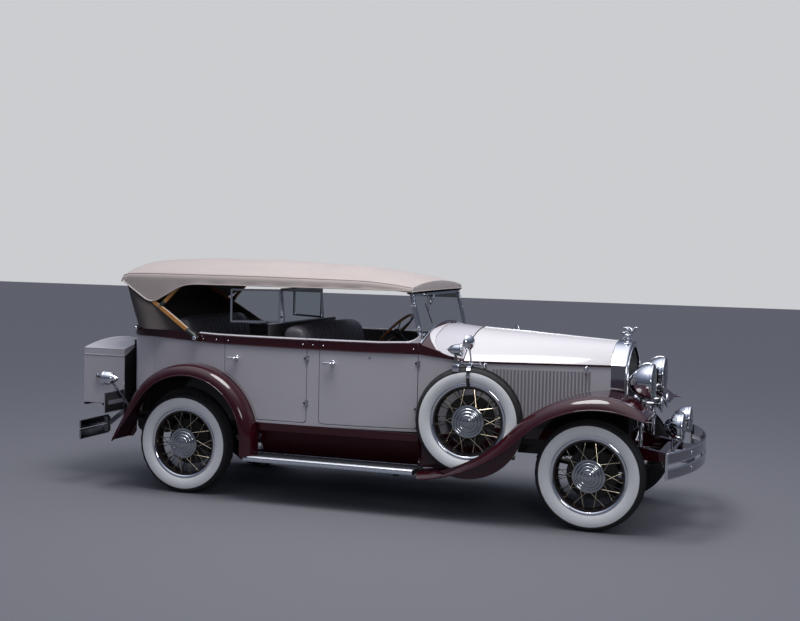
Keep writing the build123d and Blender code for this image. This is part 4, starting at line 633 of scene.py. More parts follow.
# Painted shade: a darker copy of the cream for the louvres' sloping fronts, and black for their
# rear lips.
louvre = enamel("louvre_painted_shade", (0.24, 0.225, 0.24), (0.3, 0.285, 0.3), 0.3, 0.2)


def louvre_rule(point, normal):
    """0 paint, 1 a louvre's rear lip in black as painted shade, 2 its sloping front in a darker
    cream as painted shade.
    """
    if point.z > 1.19 or abs(point.y) < 0.33:
        return 0
    return 1 if normal.x < -0.6 else 2 if normal.x > 0.4 else 0


cover("hood_sides", cream, rim_black, louvre, rule=louvre_rule)
for node in ("front_fenders", "rear_fenders", "splash_aprons"):
    cover(node, maroon)
trim = Form()


def arch(y, half, foot, top):
    """Height at Y of a round arch, from its half width, its foot and its top."""
    rise = top - foot
    radius = (half ** 2 + rise ** 2) / (2 * rise)
    return top - radius + math.sqrt(max(radius ** 2 - y ** 2, 0))


def spread(half, count):
    """Evenly spaced numbers from -half to half."""
    return [half * (2 * n / count - 1) for n in range(count + 1)]


COWL_HALF, COWL_FOOT, COWL_TOP = 0.672, 1.33, 1.476
trim.tube([(COWL_REAR_X + 0.006, y * 1.012, arch(y, COWL_HALF, COWL_FOOT, COWL_TOP) + 0.012)
    for y in spread(COWL_HALF, 40)], 0.006, 10)
trim.tube([(COWL_X + 0.012, 0, 1.449), (1.2, 0, 1.43), (1.6, 0, 1.406),
    (RADIATOR_X - 0.006, 0, 1.3845)], 0.0085, 12, flat=0.6)
HOOD_EDGE_Z, NOSE_HALF = 1.215, 0.33
for x, top_z, half in ((COWL_X + 0.0005, 1.447, side_y(COWL_X)),
        (RADIATOR_X - 0.0005, 1.382, NOSE_HALF)):
    trim.tube([(x, y, arch(y, half, HOOD_EDGE_Z, top_z) + 0.0015) for y in spread(half, 40)],
        0.0035, 8, paint=1)
trim.piece("hood_trim", [bright, rim_black], "chassis", "chrome")
for side, hand in HANDS:
    catch = Form()
    for x in (1.02, 1.78):
        t = (x - COWL_X) / (RADIATOR_X - COWL_X)
        y = side * (side_y(COWL_X) * (1 - t) + NOSE_HALF * t + 0.006)
        catch.block((x - 0.012, y - 0.006, 1.135), (x + 0.012, y + 0.006, 1.205), 0.003)
        catch.tube([(x, y + side * 0.008, 1.196), (x, y + side * 0.022, 1.186),
            (x, y + side * 0.024, 1.16), (x, y + side * 0.016, 1.142)],
            [0.006, 0.005, 0.0045, 0.006], 10)
        catch.turned(mm(0.1, 10, 7, 8, 10, 3, 10, 0), outward((x, y + side * 0.006, 1.197), side),
            16)
    catch.piece(f"hood_catches_{hand}", [bright], "chassis", "chrome")

# Fenders: pressed maroon steel with a wired edge along each lip; black splash panels close
# the gap between each front fender and the frame.
def arcs(start, heading, rows, step=3.0):
    """Points along tangent arcs in X and Z. Each row is a radius, negative where the arc turns
    down, and a sweep in degrees."""
    x, z = start
    angle = math.radians(heading)
    line = [(x, z)]
    for radius, sweep in rows:
        turn = math.copysign(1, radius)
        size = abs(radius)
        centre = (x - turn * size * math.sin(angle), z + turn * size * math.cos(angle))
        count = max(2, int(sweep / step))
        for n in range(1, count + 1):
            now = angle + turn * math.radians(sweep) * n / count
            line.append((centre[0] + turn * size * math.sin(now),
                centre[1] - turn * size * math.cos(now)))
        angle += turn * math.radians(sweep)
        x, z = line[-1]
    return line


FENDER_Y, REAR_FENDER_Y = 0.905, 0.915
SPLASH_FOOT_Y, SPLASH_FOOT_Z = 0.372, 0.56
FRONT_LIP = arcs((FRONT_X - 1.294, 0.311), 5.62, ((1.305, 39.5), (-0.82, 65.3), (0.237, 25.1)))
FRONT_CREST = arcs((FRONT_X - 1.328, 0.354), 5.75,
    ((1.129, 42.05), (-0.942, 43.39), (-0.545, 47.48)))
REAR_ARCH_X, REAR_ARCH_Z, REAR_ARCH_RADIUS = REAR_X + 0.075, TYRE_RADIUS + 0.069, 0.515
REAR_LIP = [(REAR_ARCH_X + REAR_ARCH_RADIUS, z) for z in (0.372, 0.43)]
REAR_LIP += [(REAR_ARCH_X + REAR_ARCH_RADIUS * math.cos(math.radians(a)),
    REAR_ARCH_Z + REAR_ARCH_RADIUS * math.sin(math.radians(a))) for a in range(0, 146, 5)]
tail_x, tail_z = REAR_LIP[-1]
tail_slope = math.radians(55)
REAR_LIP += [(tail_x - n * math.cos(tail_slope), tail_z - n * math.sin(tail_slope))
    for n in (0.1, 0.2, 0.3)]
REAR_LIP = [p for p in REAR_LIP if p[1] > 0.41 or p[0] > REAR_ARCH_X]
for side, hand in HANDS:
    wire = Form()
    wire.tube([(x, side * (FENDER_Y - 0.003), z) for x, z in FRONT_LIP if z > 0.3], 0.0062, 10)
    wire.tube([(x, side * (REAR_FENDER_Y - 0.003), z) for x, z in REAR_LIP], 0.0062, 10)
    nose_x, nose_z = FRONT_CREST[-1]
    wire.tube([(nose_x - 0.004, side * y, nose_z + 0.003) for y in (0.44, 0.6, 0.75, 0.86)], 0.006,
        10)
    wire.piece(f"fender_wire_{hand}", [maroon], "chassis", "maroon_paint")
    splash = Form()
    rows = []
    for n in range(25):
        x = 1.16 + 0.96 * n / 24
        top = min(between(FRONT_CREST, x) - 0.03, 1.02)
        rows.append([(x, side * (SPLASH_FOOT_Y + 0.028 * k / 6),
            SPLASH_FOOT_Z + (top - SPLASH_FOOT_Z) * k / 6) for k in range(7)])
    splash.grid(rows)
    splash.grid([[(p[0], p[1] - side * 0.002, p[2]) for p in row] for row in rows])
    splash.piece(f"splash_panel_{hand}", [chassis_black], "chassis", "black_steel")

# Running boards: steel boards with a ribbed rubber mat glued on. Strips of ribbed aluminium are
# screwed round it, the widest along the outer edge.
BOARD_REAR, BOARD_FRONT, BOARD_IN, BOARD_OUT, BOARD_TOP = -0.8995, 0.5495, 0.62, 0.892, 0.365
STRIP_WIDTH, STRIP_LOW, STRIP_HIGH, MAT_RIBS = 0.013, BOARD_TOP + 0.0005, BOARD_TOP + 0.007, 34
rubber_mat = finish("ribbed_rubber", ((45, 5), (0.02, 0.021, 0.026), (0.042, 0.044, 0.052)),
    Roughness=0.72)
satin = finish("satin_aluminium", rough=((40, 4, (1, 12, 12)), 0.14, 0.2),
    Base_Color=(0.8, 0.81, 0.83), Metallic=1.0)
cover("running_boards", chassis_black)
for side, hand in HANDS:
    mat = Form()
    outline = [(BOARD_IN + 0.014, 0.0005)]
    width = BOARD_OUT - 0.042 - BOARD_IN - 0.016
    for n in range(MAT_RIBS):
        y = BOARD_IN + 0.016 + width * n / MAT_RIBS
        pitch = width / MAT_RIBS
        outline += [(y, 0.0022), (y + pitch * 0.12, 0.0045), (y + pitch * 0.55, 0.0045),
            (y + pitch * 0.67, 0.0022)]
    outline += [(BOARD_OUT - 0.04, 0.0022), (BOARD_OUT - 0.04, 0.0005)]
    ends = [[(x, side * y, BOARD_TOP + z) for y, z in outline]
        for x in (BOARD_REAR + 0.012, BOARD_FRONT - 0.012)]
    mat.grid(ends)
    mat.ends(ends)
    mat.piece(f"board_mat_{hand}", [rubber_mat], "chassis", "rubber_mat", 20)
    edging = Form()
    profile = [(BOARD_OUT - 0.042, 0.0005), (BOARD_OUT - 0.04, 0.006)]
    for n in range(5):
        y = BOARD_OUT - 0.038 + n * 0.0078
        profile += [(y, 0.007), (y + 0.0018, 0.0092), (y + 0.0044, 0.0092), (y + 0.006, 0.007)]
    profile += [(BOARD_OUT + y, z) for y, z in mm(3.5, 4, 5.5, -4, 3.5, -10, 5.5, -16, 3.5, -22,
        5, -28, 0.8, -31, 0.6, 0.5)]
    bars = [[(x, side * y, BOARD_TOP + z) for y, z in profile]
        for x in (BOARD_REAR, BOARD_FRONT - 0.002)]
    edging.grid(bars, round_columns=True)
    edging.ends(bars)
    low, high = sorted((side * BOARD_IN, side * (BOARD_IN + STRIP_WIDTH)))
    edging.block((BOARD_REAR, low, STRIP_LOW), (BOARD_FRONT - 0.002, high, STRIP_HIGH), 0.002)
    for x in (BOARD_REAR, BOARD_FRONT - 0.014):
        low, high = sorted((side * (BOARD_IN + 0.012), side * (BOARD_OUT - 0.038)))
        edging.block((x, low, STRIP_LOW), (x + 0.012, high, STRIP_HIGH), 0.002)
    edging.piece(f"board_edging_{hand}", [satin], "chassis", "dull_steel", 30)

# Radiator: plated shell, darker down its sides as a painted dark reflection, over a dark core with
# upright fins, a filler cap with a grip ring, and an ornament of a bird in flight.
# Painted reflection: plated metal with a dark base colour, standing for dark surroundings seen in
# the chrome.
chrome_painted_dark = finish("chrome_painted_dark_reflection", rough=((30, 5), 0.1, 0.06), Base_Color=(0.34, 0.34, 0.36),
    Metallic=1.0)
# The shell's flat sides get the darker chrome as a painted dark reflection.
cover("radiator_shell", bright, chrome_painted_dark, rule=lambda p, n: 1 if abs(n.y) > 0.9
    and p.z < 1.25 else 0)
core_metal = finish("core_enamel", ((30, 4), (0.02, 0.02, 0.022), (0.045, 0.044, 0.046)),
    Roughness=0.45, Metallic=0.6)
cover("radiator_core", core_metal)
fins = Form()
for n in range(45):
    y = -0.264 + 0.012 * n
    top = 1.33 - 0.14 * (abs(y) / 0.29) ** 2.2
    fins.block((2.0645, y - 0.0016, 0.674), (2.0745, y + 0.0016, top), 0.0008)
for z in (0.8, 0.93, 1.06, 1.19):
    fins.block((2.0665, -0.266, z - 0.002), (2.0735, 0.266, z + 0.002), 0.0008)
fins.piece("radiator_fins", [core_metal], "chassis", "radiator_core")
CAP_X, CAP_Z = 2.0325, 1.419
filler = Form()
here = Matrix.Translation((CAP_X, 0, CAP_Z))
filler.turned(mm(31.5, -45, 31.5, -22, 36, -20, 37.5, -14, 36, -8, 31.5, -6, 31.5, 4, 34.5, 7,
    34.5, 16, 30, 22, 16, 26, 9.5, 30, 8.5, 36, 0.1, 40), here, 40)
for n in range(24):
    a = math.tau * n / 24
    filler.block((-0.0018, -0.0018, -0.0195), (0.0018, 0.0018, -0.0085), 0.0006,
        here @ Matrix.Rotation(a, 4, "Z") @ Matrix.Translation((0.0372, 0, 0)))
bird = curve([(CAP_X - 0.062, 0, 1.449), (CAP_X - 0.03, 0, 1.45), (CAP_X, 0, 1.458),
    (CAP_X + 0.03, 0, 1.472), (CAP_X + 0.052, 0, 1.487), (CAP_X + 0.068, 0, 1.494),
    (CAP_X + 0.082, 0, 1.49)], 4)
girth = [0.0012, 0.0035, 0.0055, 0.007, 0.008, 0.0088, 0.0094, 0.0098, 0.0102, 0.0104, 0.0104,
    0.0102, 0.0098, 0.0092, 0.0086, 0.008, 0.0074, 0.007, 0.007, 0.0072, 0.0068, 0.0055, 0.004,
    0.0022, 0.0008]
filler.tube(bird, girth, 12)
for side in SIDES:
    rows = []
    for n in range(9):
        t = n / 8
        root_x, root_z = CAP_X + 0.02, 1.466
        x = root_x - 0.05 * t ** 1.6
        y = side * (0.006 + 0.05 * t)
        z = root_z + 0.03 * math.sin(t * 1.9)
        chord = 0.038 * (1 - t) ** 0.7 + 0.006
        rows.append([(x + chord * 0.45, y, z + 0.001), (x, y, z + 0.005 * (1 - t) + 0.001),
            (x - chord * 0.55, y, z - 0.002), (x, y, z - 0.002)])
    filler.grid(rows, round_columns=True)
    filler.add(rows[-1], [(0, 1, 2, 3)])
filler.piece("filler_cap_and_ornament", [bright], "chassis", "chrome")
shell_bead = Form()
SHELL_X, SHELL_HALF, SHELL_SPRING, SHELL_TOP = 2.0875, 0.289, 1.197, 1.345
inner = [(SHELL_X, y, arch(y, SHELL_HALF, SHELL_SPRING, SHELL_TOP)) for y in spread(SHELL_HALF, 30)]
shell_bead.tube([(SHELL_X, -0.27, 0.668), *inner, (SHELL_X, 0.27, 0.668)], 0.0045, 10, closed=True)
shell_bead.piece("shell_bead", [bright], "chassis", "chrome")

# Lamps: bright bullet shells with a rolled rim, and a domed fluted lens in front of a
# reflector. The tail lamps have ribbed red lenses.
for node in ("headlamps", "driving_lamps", "tail_lamps"):
    cover(node, bright)
lens = finish("fluted_lens", rough=((80, 3), 0.08, 0.03), Base_Color=(0.93, 0.96, 0.97),
    Transmission_Weight=1.0, IOR=1.32)
reflector = finish("silvered_reflector", rough=((50, 4), 0.12, 0.16), Base_Color=(0.78, 0.79, 0.8),
    Metallic=1.0)
ruby = finish("ruby_lens", rough=((90, 3), 0.15, 0.1), Base_Color=(0.42, 0.008, 0.01),
    Coat_Weight=0.8)


def fore(place, way=1):
    """Place whose local Z points forwards, or backwards where way is -1."""
    return Matrix.Translation(place) @ Matrix.Rotation(way * math.pi / 2, 4, "Y")


def lamp_front(form, face, radius, flutes, way=1):
    """Rim, reflector and lens on a lamp's flat face; way is -1 where it faces backwards."""
    place = fore(face, way)
    form.turned([(radius + out, z) for out, z in mm(-10, 0.2, -4, 7.5, 2, 8.5, 5, 4.5, 5, -7,
        2.2, -11, 0.5, -11)], place, 56)
    form.turned([(radius - 0.006, 0.001), (radius * 0.6, 0.0016), (0.0001, 0.0018)], place, 40,
        paint=1)
    form.turned(mm(20, 2, 18, 6.2, 0.1, 7.5), place, 20, paint=1)
    glass = radius - 0.005
    step = 2 * glass / flutes
    rows = []
    for n in range(flutes * 4 + 1):
        across = -glass + step * n / 4
        half = math.sqrt(max(glass ** 2 - across ** 2, 0))
        ripple = 0.0007 * math.cos(math.pi * n / 2)
        rows.append([(half * (k / 8 - 1), across, 0.0075
            + 0.012 * (1 - (across ** 2 + (half * (k / 8 - 1)) ** 2) / glass ** 2) + ripple)
            for k in range(17)])
    form.grid(rows, place, paint=2)


COWL_LAMP_X, COWL_LAMP_Y, COWL_LAMP_Z = 0.8695, 0.7, 1.307
for side, hand in HANDS:
    for stem, face, radius, flutes in (("headlamp", (2.2875, side * 0.34, 1.098), 0.142, 26),
            ("driving_lamp", (2.5125, side * 0.25, 0.76), 0.105, 20),
            ("cowl_lamp", (COWL_LAMP_X, side * COWL_LAMP_Y, COWL_LAMP_Z), 0.047, 9)):
        front = Form()
        lamp_front(front, face, radius, flutes)
        if stem == "headlamp":
            x, y, z = face
            front.tube(curve([(x - 0.012, y, z + 0.148), (x - 0.045, y, z + 0.1495),
                (x - 0.085, y, z + 0.138), (x - 0.115, y, z + 0.121)], 4), 0.006, 10, flat=0.5)
            front.turned(mm(26, 0, 26, 30, 19, 40, 16.5, 60),
                Matrix.Translation((x - 0.08, y, z - 0.205)), 24)
            front.turned(mm(16.5, 0, 16.5, 100, 22, 110, 22, 130, 16.5, 140, 16.5, 260),
                Matrix.Translation((x - 0.08, y, z - 0.46)), 24)
        front.piece(f"{stem}_front_{hand}", [bright, reflector, lens], "chassis", "clear_glass")
    rear = Form()
    rear_face = (-2.289, side * 0.75, 0.92)
    lamp_front(rear, rear_face, 0.056, 9, -1)
    rear.turned(mm(0.1, -108, 22, -104, 40, -90, 52, -68, 57.5, -42, 59, -12, 57.5, 0),
        fore(rear_face, -1), 44)
    rear.piece(f"tail_lens_{hand}", [bright, ruby, ruby], "chassis", "chrome")

# Horns: a pair of spun trumpets plated bright, under the headlamps. Each is clamped to a bracket
# that comes up from the frame, and a bar joins the two.
horns = Form()
HORN_Y = 0.158
for side in SIDES:
    horns.turned(mm(0.1, -300, 30, -298, 34, -285, 34, -225, 27, -215, 13, -205, 12.5, -120,
        16, -70, 24, -35, 40, -12, 58, -2, 62.5, 2, 62.5, 6, 59, 7, 38, -6, 22, -28, 12, -60,
        0.1, -100), fore((2.335, side * HORN_Y, 0.915)), 40)
    horns.block((2.185, side * HORN_Y - 0.012, 0.858), (2.215, side * HORN_Y + 0.012, 0.906), 0.003)
    horns.tube([(2.2, side * HORN_Y, 0.862), (2.2, side * HORN_Y, 0.8), (2.18, side * 0.2, 0.72),
        (2.17, side * 0.33, 0.64)], 0.011, 10)
horns.tube([(2.2, -0.345, 0.8), (2.2, 0.345, 0.8)], 0.01, 12)
horns.piece("horns", [bright], "chassis", "chrome")

# Bumpers: two plated bars in front and a short pair on each side behind, darkened as a painted
# dark reflection, with bright edges, capped ends and bolted clamps, and a plain boss in the middle
# of the front.
cover("front_bumper", chrome_painted_dark)
cover("rear_bumper", chrome_painted_dark)
bumper = Form()
BUMPER_X, BUMPER_HALF, BUMPER_BOW, CLAMP_Y = 2.6575, 0.85, 0.18, 0.45
FRONT_BARS, REAR_BARS = mm(455, 525, 565, 640), mm(400, 470, 490, 550)


def bar_x(y):
    """Front face of the bowed bars."""
    return arch(y, BUMPER_HALF, BUMPER_X - BUMPER_BOW, BUMPER_X)


for low, high in FRONT_BARS:
    for edge in (low, high):
        bumper.tube([(bar_x(y) - 0.006, y, edge) for y in spread(BUMPER_HALF, 32)], 0.0072, 10)
    for side in SIDES:
        bumper.tube([(bar_x(BUMPER_HALF) - 0.006, side * 0.852, z)
            for z in (low - 0.002, (low + high) / 2, high + 0.002)], 0.0085, 10)
for y in (-CLAMP_Y, CLAMP_Y):
    for z in (0.49, 0.602):
        bumper.turned(mm(17.5, -4, 17.5, 1, 12, 3.5, 0.1, 4), fore((bar_x(y), y, z)), 24)
for y in (0.01 - BUMPER_HALF, BUMPER_HALF - 0.01):
    x = bar_x(y)
    bumper.block((x - 0.02, y - 0.016, 0.448), (x + 0.0015, y + 0.016, 0.647), 0.004)
bumper.turned(mm(0.1, -20, 46, -18, 50, -8, 46, 1, 38, 3, 36, 1, 0.1, 1), fore((2.652, 0, 0.545)),
    40)
bumper.piece("bumper_trim", [bright], "chassis", "chrome")
rear_trim = Form()
REAR_BAR_X, REAR_BAR_ENDS = -2.4615, (0.42, 0.85)
for side in SIDES:
    for low, high in REAR_BARS:
        for edge in (low, high):
            rear_trim.tube([(REAR_BAR_X, side * y, edge) for y in REAR_BAR_ENDS], 0.0068, 10)
        for y in REAR_BAR_ENDS:
            rear_trim.tube([(REAR_BAR_X, side * y, low), (REAR_BAR_X, side * y, high)], 0.0075, 10)
    for z in (0.435, 0.52):
        rear_trim.turned(mm(16, -2, 16, 3, 0.1, 5), fore((-2.4675, side * 0.47, z), -1), 20)
rear_trim.piece("rear_bumper_trim", [chrome_painted_dark], "chassis", "chrome")

# Windshields: bright frames with plate glass, foot castings, pivot clamps with wing nuts, a
# small wiper, and a round rear-view mirror.
cover("windshield_frames", bright)
glass = finish("plate_glass", rough=((4, 2), 0.01, 0.0), Base_Color=(0.93, 0.97, 0.95),
    Transmission_Weight=1.0, IOR=1.02, Specular_IOR_Level=0.9)
cover("windshield_glass", glass)
shield = Form()
LOW_X, LOW_Z, HIGH_X, HIGH_Z, POST_Y = 0.5065, 1.372, 0.4215, 1.731, 0.625


def post_at(z):
    """Middle of the windshield post at a height."""
    return LOW_X + (HIGH_X - LOW_X) * (z - LOW_Z) / (HIGH_Z - LOW_Z)


for side in SIDES:
    y = side * POST_Y
    shield.tube([(post_at(1.372) + 0.006, side * 0.636, 1.325),
        (post_at(1.39), y + side * 0.004, 1.352), (post_at(1.4), y, 1.385),
        (post_at(1.43), y, 1.425)], [0.0175, 0.0215, 0.019, 0.0125], 16)
    for z in (1.452, 1.64):
        here = outward((post_at(z), y, z), side)
        shield.turned(mm(0.1, -16, 16.5, -16, 18.5, -10, 18.5, 12, 15, 18, 8, 20, 8, 26, 0.1, 28),
            here, 24)
        for way in SIDES:
            shield.tube([(0, 0, 0.024), (way * 0.012, 0, 0.029), (way * 0.019, 0, 0.036)],
                [0.0045, 0.0048, 0.003], 8, place=here @ Matrix.Rotation(0.5, 4, "Z"), flat=0.5)
    for edge in (0.0135, -0.0135):
        shield.tube([(post_at(z) + edge, y + side * 0.002, z) for z in (1.4, 1.55, 1.722)], 0.0052,
            10)
wiper = (post_at(1.716) + 0.016, -0.3, 1.712)
shield.turned(mm(0.1, -20, 13, -20, 15, -12, 15, 6, 6, 10, 0.1, 11), fore(wiper), 20)
shield.tube([(wiper[0] + 0.008, -0.3, 1.705), (post_at(1.62) + 0.02, -0.335, 1.62),
    (post_at(1.56) + 0.018, -0.36, 1.56)], [0.0032, 0.0026, 0.0022], 8, paint=1)
shield.block((-0.003, -0.004, -0.105), (0.003, 0.004, 0.075), 0.001,
    Matrix.Translation((post_at(1.585) + 0.0165, -0.348, 1.575)) @ Matrix.Rotation(-0.24, 4, "Y")
    @ Matrix.Rotation(0.4, 4, "X"), paint=1)
shield.turned(mm(0.1, -10, 40, -8, 46, -2, 46, 4, 42, 5, 0.1, 5), fore((0.385, 0.0, 1.66), -1), 32)
shield.tube([(0.392, 0, 1.665), (0.405, 0, 1.695), (post_at(1.716) - 0.006, 0, 1.712)], 0.005, 8)
shield.piece("windshield_fittings", [bright, rim_black], "chassis", "chrome")

# Steering wheel: a turned wood rim on four bright spokes with a black horn button; the dash has
# an oval bright panel with round gauges.
wheel_wood = finish("wheel_rim_wood", ((22, 6, (1, 1, 5)), (0.115, 0.032, 0.008),
    (0.34, 0.125, 0.03)), ((22, 6, (1, 1, 5)), 0.2, 0.25), Coat_Weight=0.9, Coat_Roughness=0.06)
COLUMN = Matrix.Translation((-0.0475, 0.33, 1.358)) @ Matrix.Rotation(math.radians(135), 4, "Y")
steering = Form()
RIM_RADIUS, RIM_POINTS = 0.205, 96
rim_angles = [math.tau * n / RIM_POINTS for n in range(RIM_POINTS)]
rim_path = [(RIM_RADIUS * math.cos(a), RIM_RADIUS * math.sin(a), 0) for a in rim_angles]
rim_thick = [0.0128 - 0.0016 * (0.5 + 0.5 * math.cos(math.tau * n / 4)) for n in range(RIM_POINTS)]
steering.tube(rim_path, rim_thick, 14, closed=True, place=COLUMN)
for n in range(4):
    turn = COLUMN @ Matrix.Rotation(math.radians(45 + 90 * n), 4, "Z")
    steering.tube([(0.028, 0, 0.016), (0.1, 0, 0.012), (0.17, 0, 0.005), (0.204, 0, 0.001)],
        [0.0095, 0.008, 0.0072, 0.0085], 10, place=turn, paint=1, flat=0.6)
steering.turned(mm(0.1, -12, 20, -10, 26, -3, 34, 0, 36, 12, 34, 39, 0.1, 39), COLUMN, 32, paint=2)
steering.turned(mm(26, -4, 29, -6, 32, -2, 34, 2), COLUMN, 32, paint=1)
steering.piece("steering_wheel_rim", [wheel_wood, bright, rim_black], "steering_wheel", "rim_wood",
    replaces=("steering_wheel",))
dash_walnut = finish("dash_walnut", ((10, 6, (6, 1, 6)), (0.03, 0.01, 0.006), (0.085, 0.03, 0.014)),
    Roughness=0.32, Coat_Weight=0.6)
cover("dashboard", dash_walnut, chassis_black, rule=lambda p, n: 1 if p.x < 0.495 else 0)
dial_face = finish("gauge_face", Roughness=0.5)
dial_face.dress("Base Color", dial_face.blend(dial_face.mottle(260, 2) > 0.62, (0.62, 0.6, 0.54),
    (0.04, 0.04, 0.04)))
panel = Form()
for y, radius in ((0.07, 0.04), (-0.02, 0.03), (-0.1, 0.03), (-0.18, 0.04), (0.155, 0.026)):
    here = fore((0.5085, y - 0.02, 1.24), -1)
    panel.turned([(radius + out, z) for out, z in mm(0, 0, 4, 4, 1, 8, -3, 5.5, -3, 3)], here, 32)
    panel.turned([(radius - 0.003, 0.003), (0.0001, 0.0032)], here, 24, paint=1)
for y in (-0.3, -0.34, 0.2, -0.26):
    panel.turned(mm(4, 0, 4, 14, 11, 16, 12, 21, 9, 25, 0.1, 26), fore((0.509, y, 1.195), -1), 20,
        paint=2)
panel.tube([(0.5075, 0.27, 1.175), (0.5075, 0.27, 1.3), (0.5075, -0.4, 1.3), (0.5075, -0.4, 1.175)],
    0.003, 8, closed=True)
panel.tube(curve([(0.32, 0.02, 0.7), (0.3, 0.02, 0.86), (0.24, 0.02, 1.0), (0.2, 0.02, 1.06)], 5),
    0.0065, 10)
panel.turned(mm(0.1, -18, 12, -14, 17, 0, 12, 14, 0.1, 18), Matrix.Translation((0.2, 0.02, 1.075)),
    24, paint=2)
panel.tube([(0.36, -0.04, 0.7), (0.33, -0.04, 0.88), (0.3, -0.04, 0.93)], 0.0065, 10)
for y in (0.24, 0.33, 0.42):
    panel.block((0.395, y - 0.028, 0.795), (0.42, y + 0.028, 0.865), 0.006, paint=2)
    panel.tube([(0.41, y, 0.83), (0.47, y, 0.8), (0.515, y, 0.75)], 0.007, 8)
panel.piece("dash_fittings", [bright, dial_face, rim_black], "chassis", "chrome", 30)

# Seats: backs and cushions stuffed over springs, in dark grey hide with upright sewn pleats
# and piped edges. Shapes are worked out in code, pulled in at the seams and ends.
hide = finish("grey_hide", ((18, 6), (0.05, 0.045, 0.053), (0.082, 0.076, 0.088)),
    ((50, 4), 0.25, 0.38), ((420, 6), 0.3, 0.0008), Coat_Weight=0.12, Coat_Roughness=0.35)


PLEAT_PITCH, END_ROUND, CURVE_STEPS = 0.066, 0.06, 7
FRONT_SEAT_HALF, REAR_SEAT_HALF = 0.668, 0.566


def pad(name, outline, half, pleat_from, pleat_to):
    """Stuffed piece across the car: an outline in X and Z, pleated between two of its corners."""
    line = curve([(x, 0, z) for x, z in outline], CURVE_STEPS)
    count = len(line)
    normals = []
    for k in range(count):
        run = (line[(k + 1) % count] - line[k - 1]).normalized() if 0 < k < count - 1 else (
            line[1] - line[0]).normalized()
        normals.append(Vector((-run.z, 0, run.x)))
    rows = []
    for y in spread(half, int(2 * half / PLEAT_PITCH) * 8):
        edge = max(0.0, (abs(y) - (half - END_ROUND)) / END_ROUND)
        pull = 0.05 * (1 - math.sqrt(max(0.0, 1 - edge * edge)))
        groove = abs(math.sin(math.pi * (y + half) / PLEAT_PITCH))
        row = []
        for k, point in enumerate(line):
            easing = min(1.0, max(0.0, min(k - pleat_from * CURVE_STEPS,
                pleat_to * CURVE_STEPS - k) / 4))
            crown = 0.012 * (1 - (y / half) ** 2) * easing
            puff = (0.011 * (groove ** 0.55) - 0.011) * easing * (1 - edge)
            wrinkle = 0.0018 * math.sin(37 * y + 5 * k) * math.sin(11 * y + 0.9 * k)
            shift = puff + crown + wrinkle - pull
            row.append((point.x + normals[k].x * shift, y, point.z + normals[k].z * shift))
        rows.append(row)
    form = Form()
    form.grid(rows, round_columns=True)
    form.ends(rows)
    form.piece(name, [hide], "chassis", "grey_leather", 60)


pad("front_seat_back", mm(-660, 700, -662, 1000, -672, 1280, -668, 1365, -635, 1412, -575, 1425,
    -510, 1405, -468, 1350, -440, 1240, -412, 1100, -395, 980, -410, 880, -460, 800, -600, 720),
    FRONT_SEAT_HALF, 4, 10)
pad("front_seat_cushion", mm(-440, 860, -440, 955, -380, 985, -200, 990, -40, 985, -2, 962, 4, 920,
    0, 860, -100, 845, -340, 845), FRONT_SEAT_HALF, 1, 5)
pad("rear_seat_back", mm(-1735, 700, -1750, 1000, -1762, 1300, -1755, 1400, -1715, 1442,
    -1655, 1448, -1600, 1420, -1562, 1340, -1535, 1200, -1512, 1050, -1500, 950, -1520, 860,
    -1580, 780, -1680, 720), REAR_SEAT_HALF, 4, 10)
pad("rear_seat_cushion", mm(-1530, 840, -1530, 935, -1470, 965, -1300, 972, -1130, 966, -1096, 940,
    -1090, 900, -1095, 840, -1200, 825, -1420, 825), REAR_SEAT_HALF, 1, 5)
bases = Form()
bases.block((-0.6, -0.655, 0.668), (-0.015, 0.655, 0.852), 0.012)
bases.block((-1.7, -0.56, 0.668), (-1.11, 0.56, 0.835), 0.012)
bases.tube([(-0.69, -0.55, 1.285), (-0.715, -0.5, 1.29), (-0.715, 0.5, 1.29), (-0.69, 0.55, 1.285)],
    0.009, 10, paint=1)
bases.piece("seat_bases", [trim_card, bright], "chassis", "grey_leather",
    replaces=("front_seat", "rear_seat"))

# Top: one sheet of tan canvas stretched over wood hoops and folded down over the front one, with
# a sewn welt over each shoulder and a bound hem along the sides.
canvas = finish("tan_canvas", ((4, 6, (1, 1, 3)), (0.355, 0.3, 0.28), (0.42, 0.358, 0.334)),
    Roughness=0.9, Sheen_Weight=0.25)
weave = canvas.node("ShaderNodeTexWave", {"bands_direction": "X"},
    {"Vector": canvas.place(), "Scale": 210.0}) * canvas.node("ShaderNodeTexWave",
    {"bands_direction": "Y"}, {"Vector": canvas.place(), "Scale": 210.0})
canvas.relief(weave + canvas.mottle(30, 4) * 0.6, 0.25, 0.0008)
# Painted shade: the curtain's canvas is coloured dark brown for the shade it hangs in.
curtain_canvas_painted_shade = finish("curtain_canvas_dark_painted_shade", ((5, 6), (0.055, 0.046, 0.044), (0.08, 0.068, 0.065)),
    relief=((700, 3), 0.3, 0.0006), Roughness=0.92)
pale_binding = finish("pale_binding", ((80, 3), (0.52, 0.46, 0.43), (0.64, 0.58, 0.55)),
    Roughness=0.85)
HALF_ROWS = mm(-2215, 618, -2150, 634, -1939.5, 667, -909.5, 667, 250, 681, 444.5, 674)
EDGE_Z_ROWS = mm(-2215, 1772, -2200, 1797, -2150, 1806, -1939.5, 1811, -909.5, 1812, 50, 1806,
    309.5, 1784, 444.5, 1764)
RIDGE_ROWS = mm(-2215, 1866, -2204, 1896, -2185, 1912, -2130, 1924, -2020, 1939, -1897.5, 1949,
    -1600, 1956, -1207.5, 1957, -909.5, 1953, -637.5, 1944, -200, 1923, 102.5, 1893, 300, 1860,
    444.5, 1814)
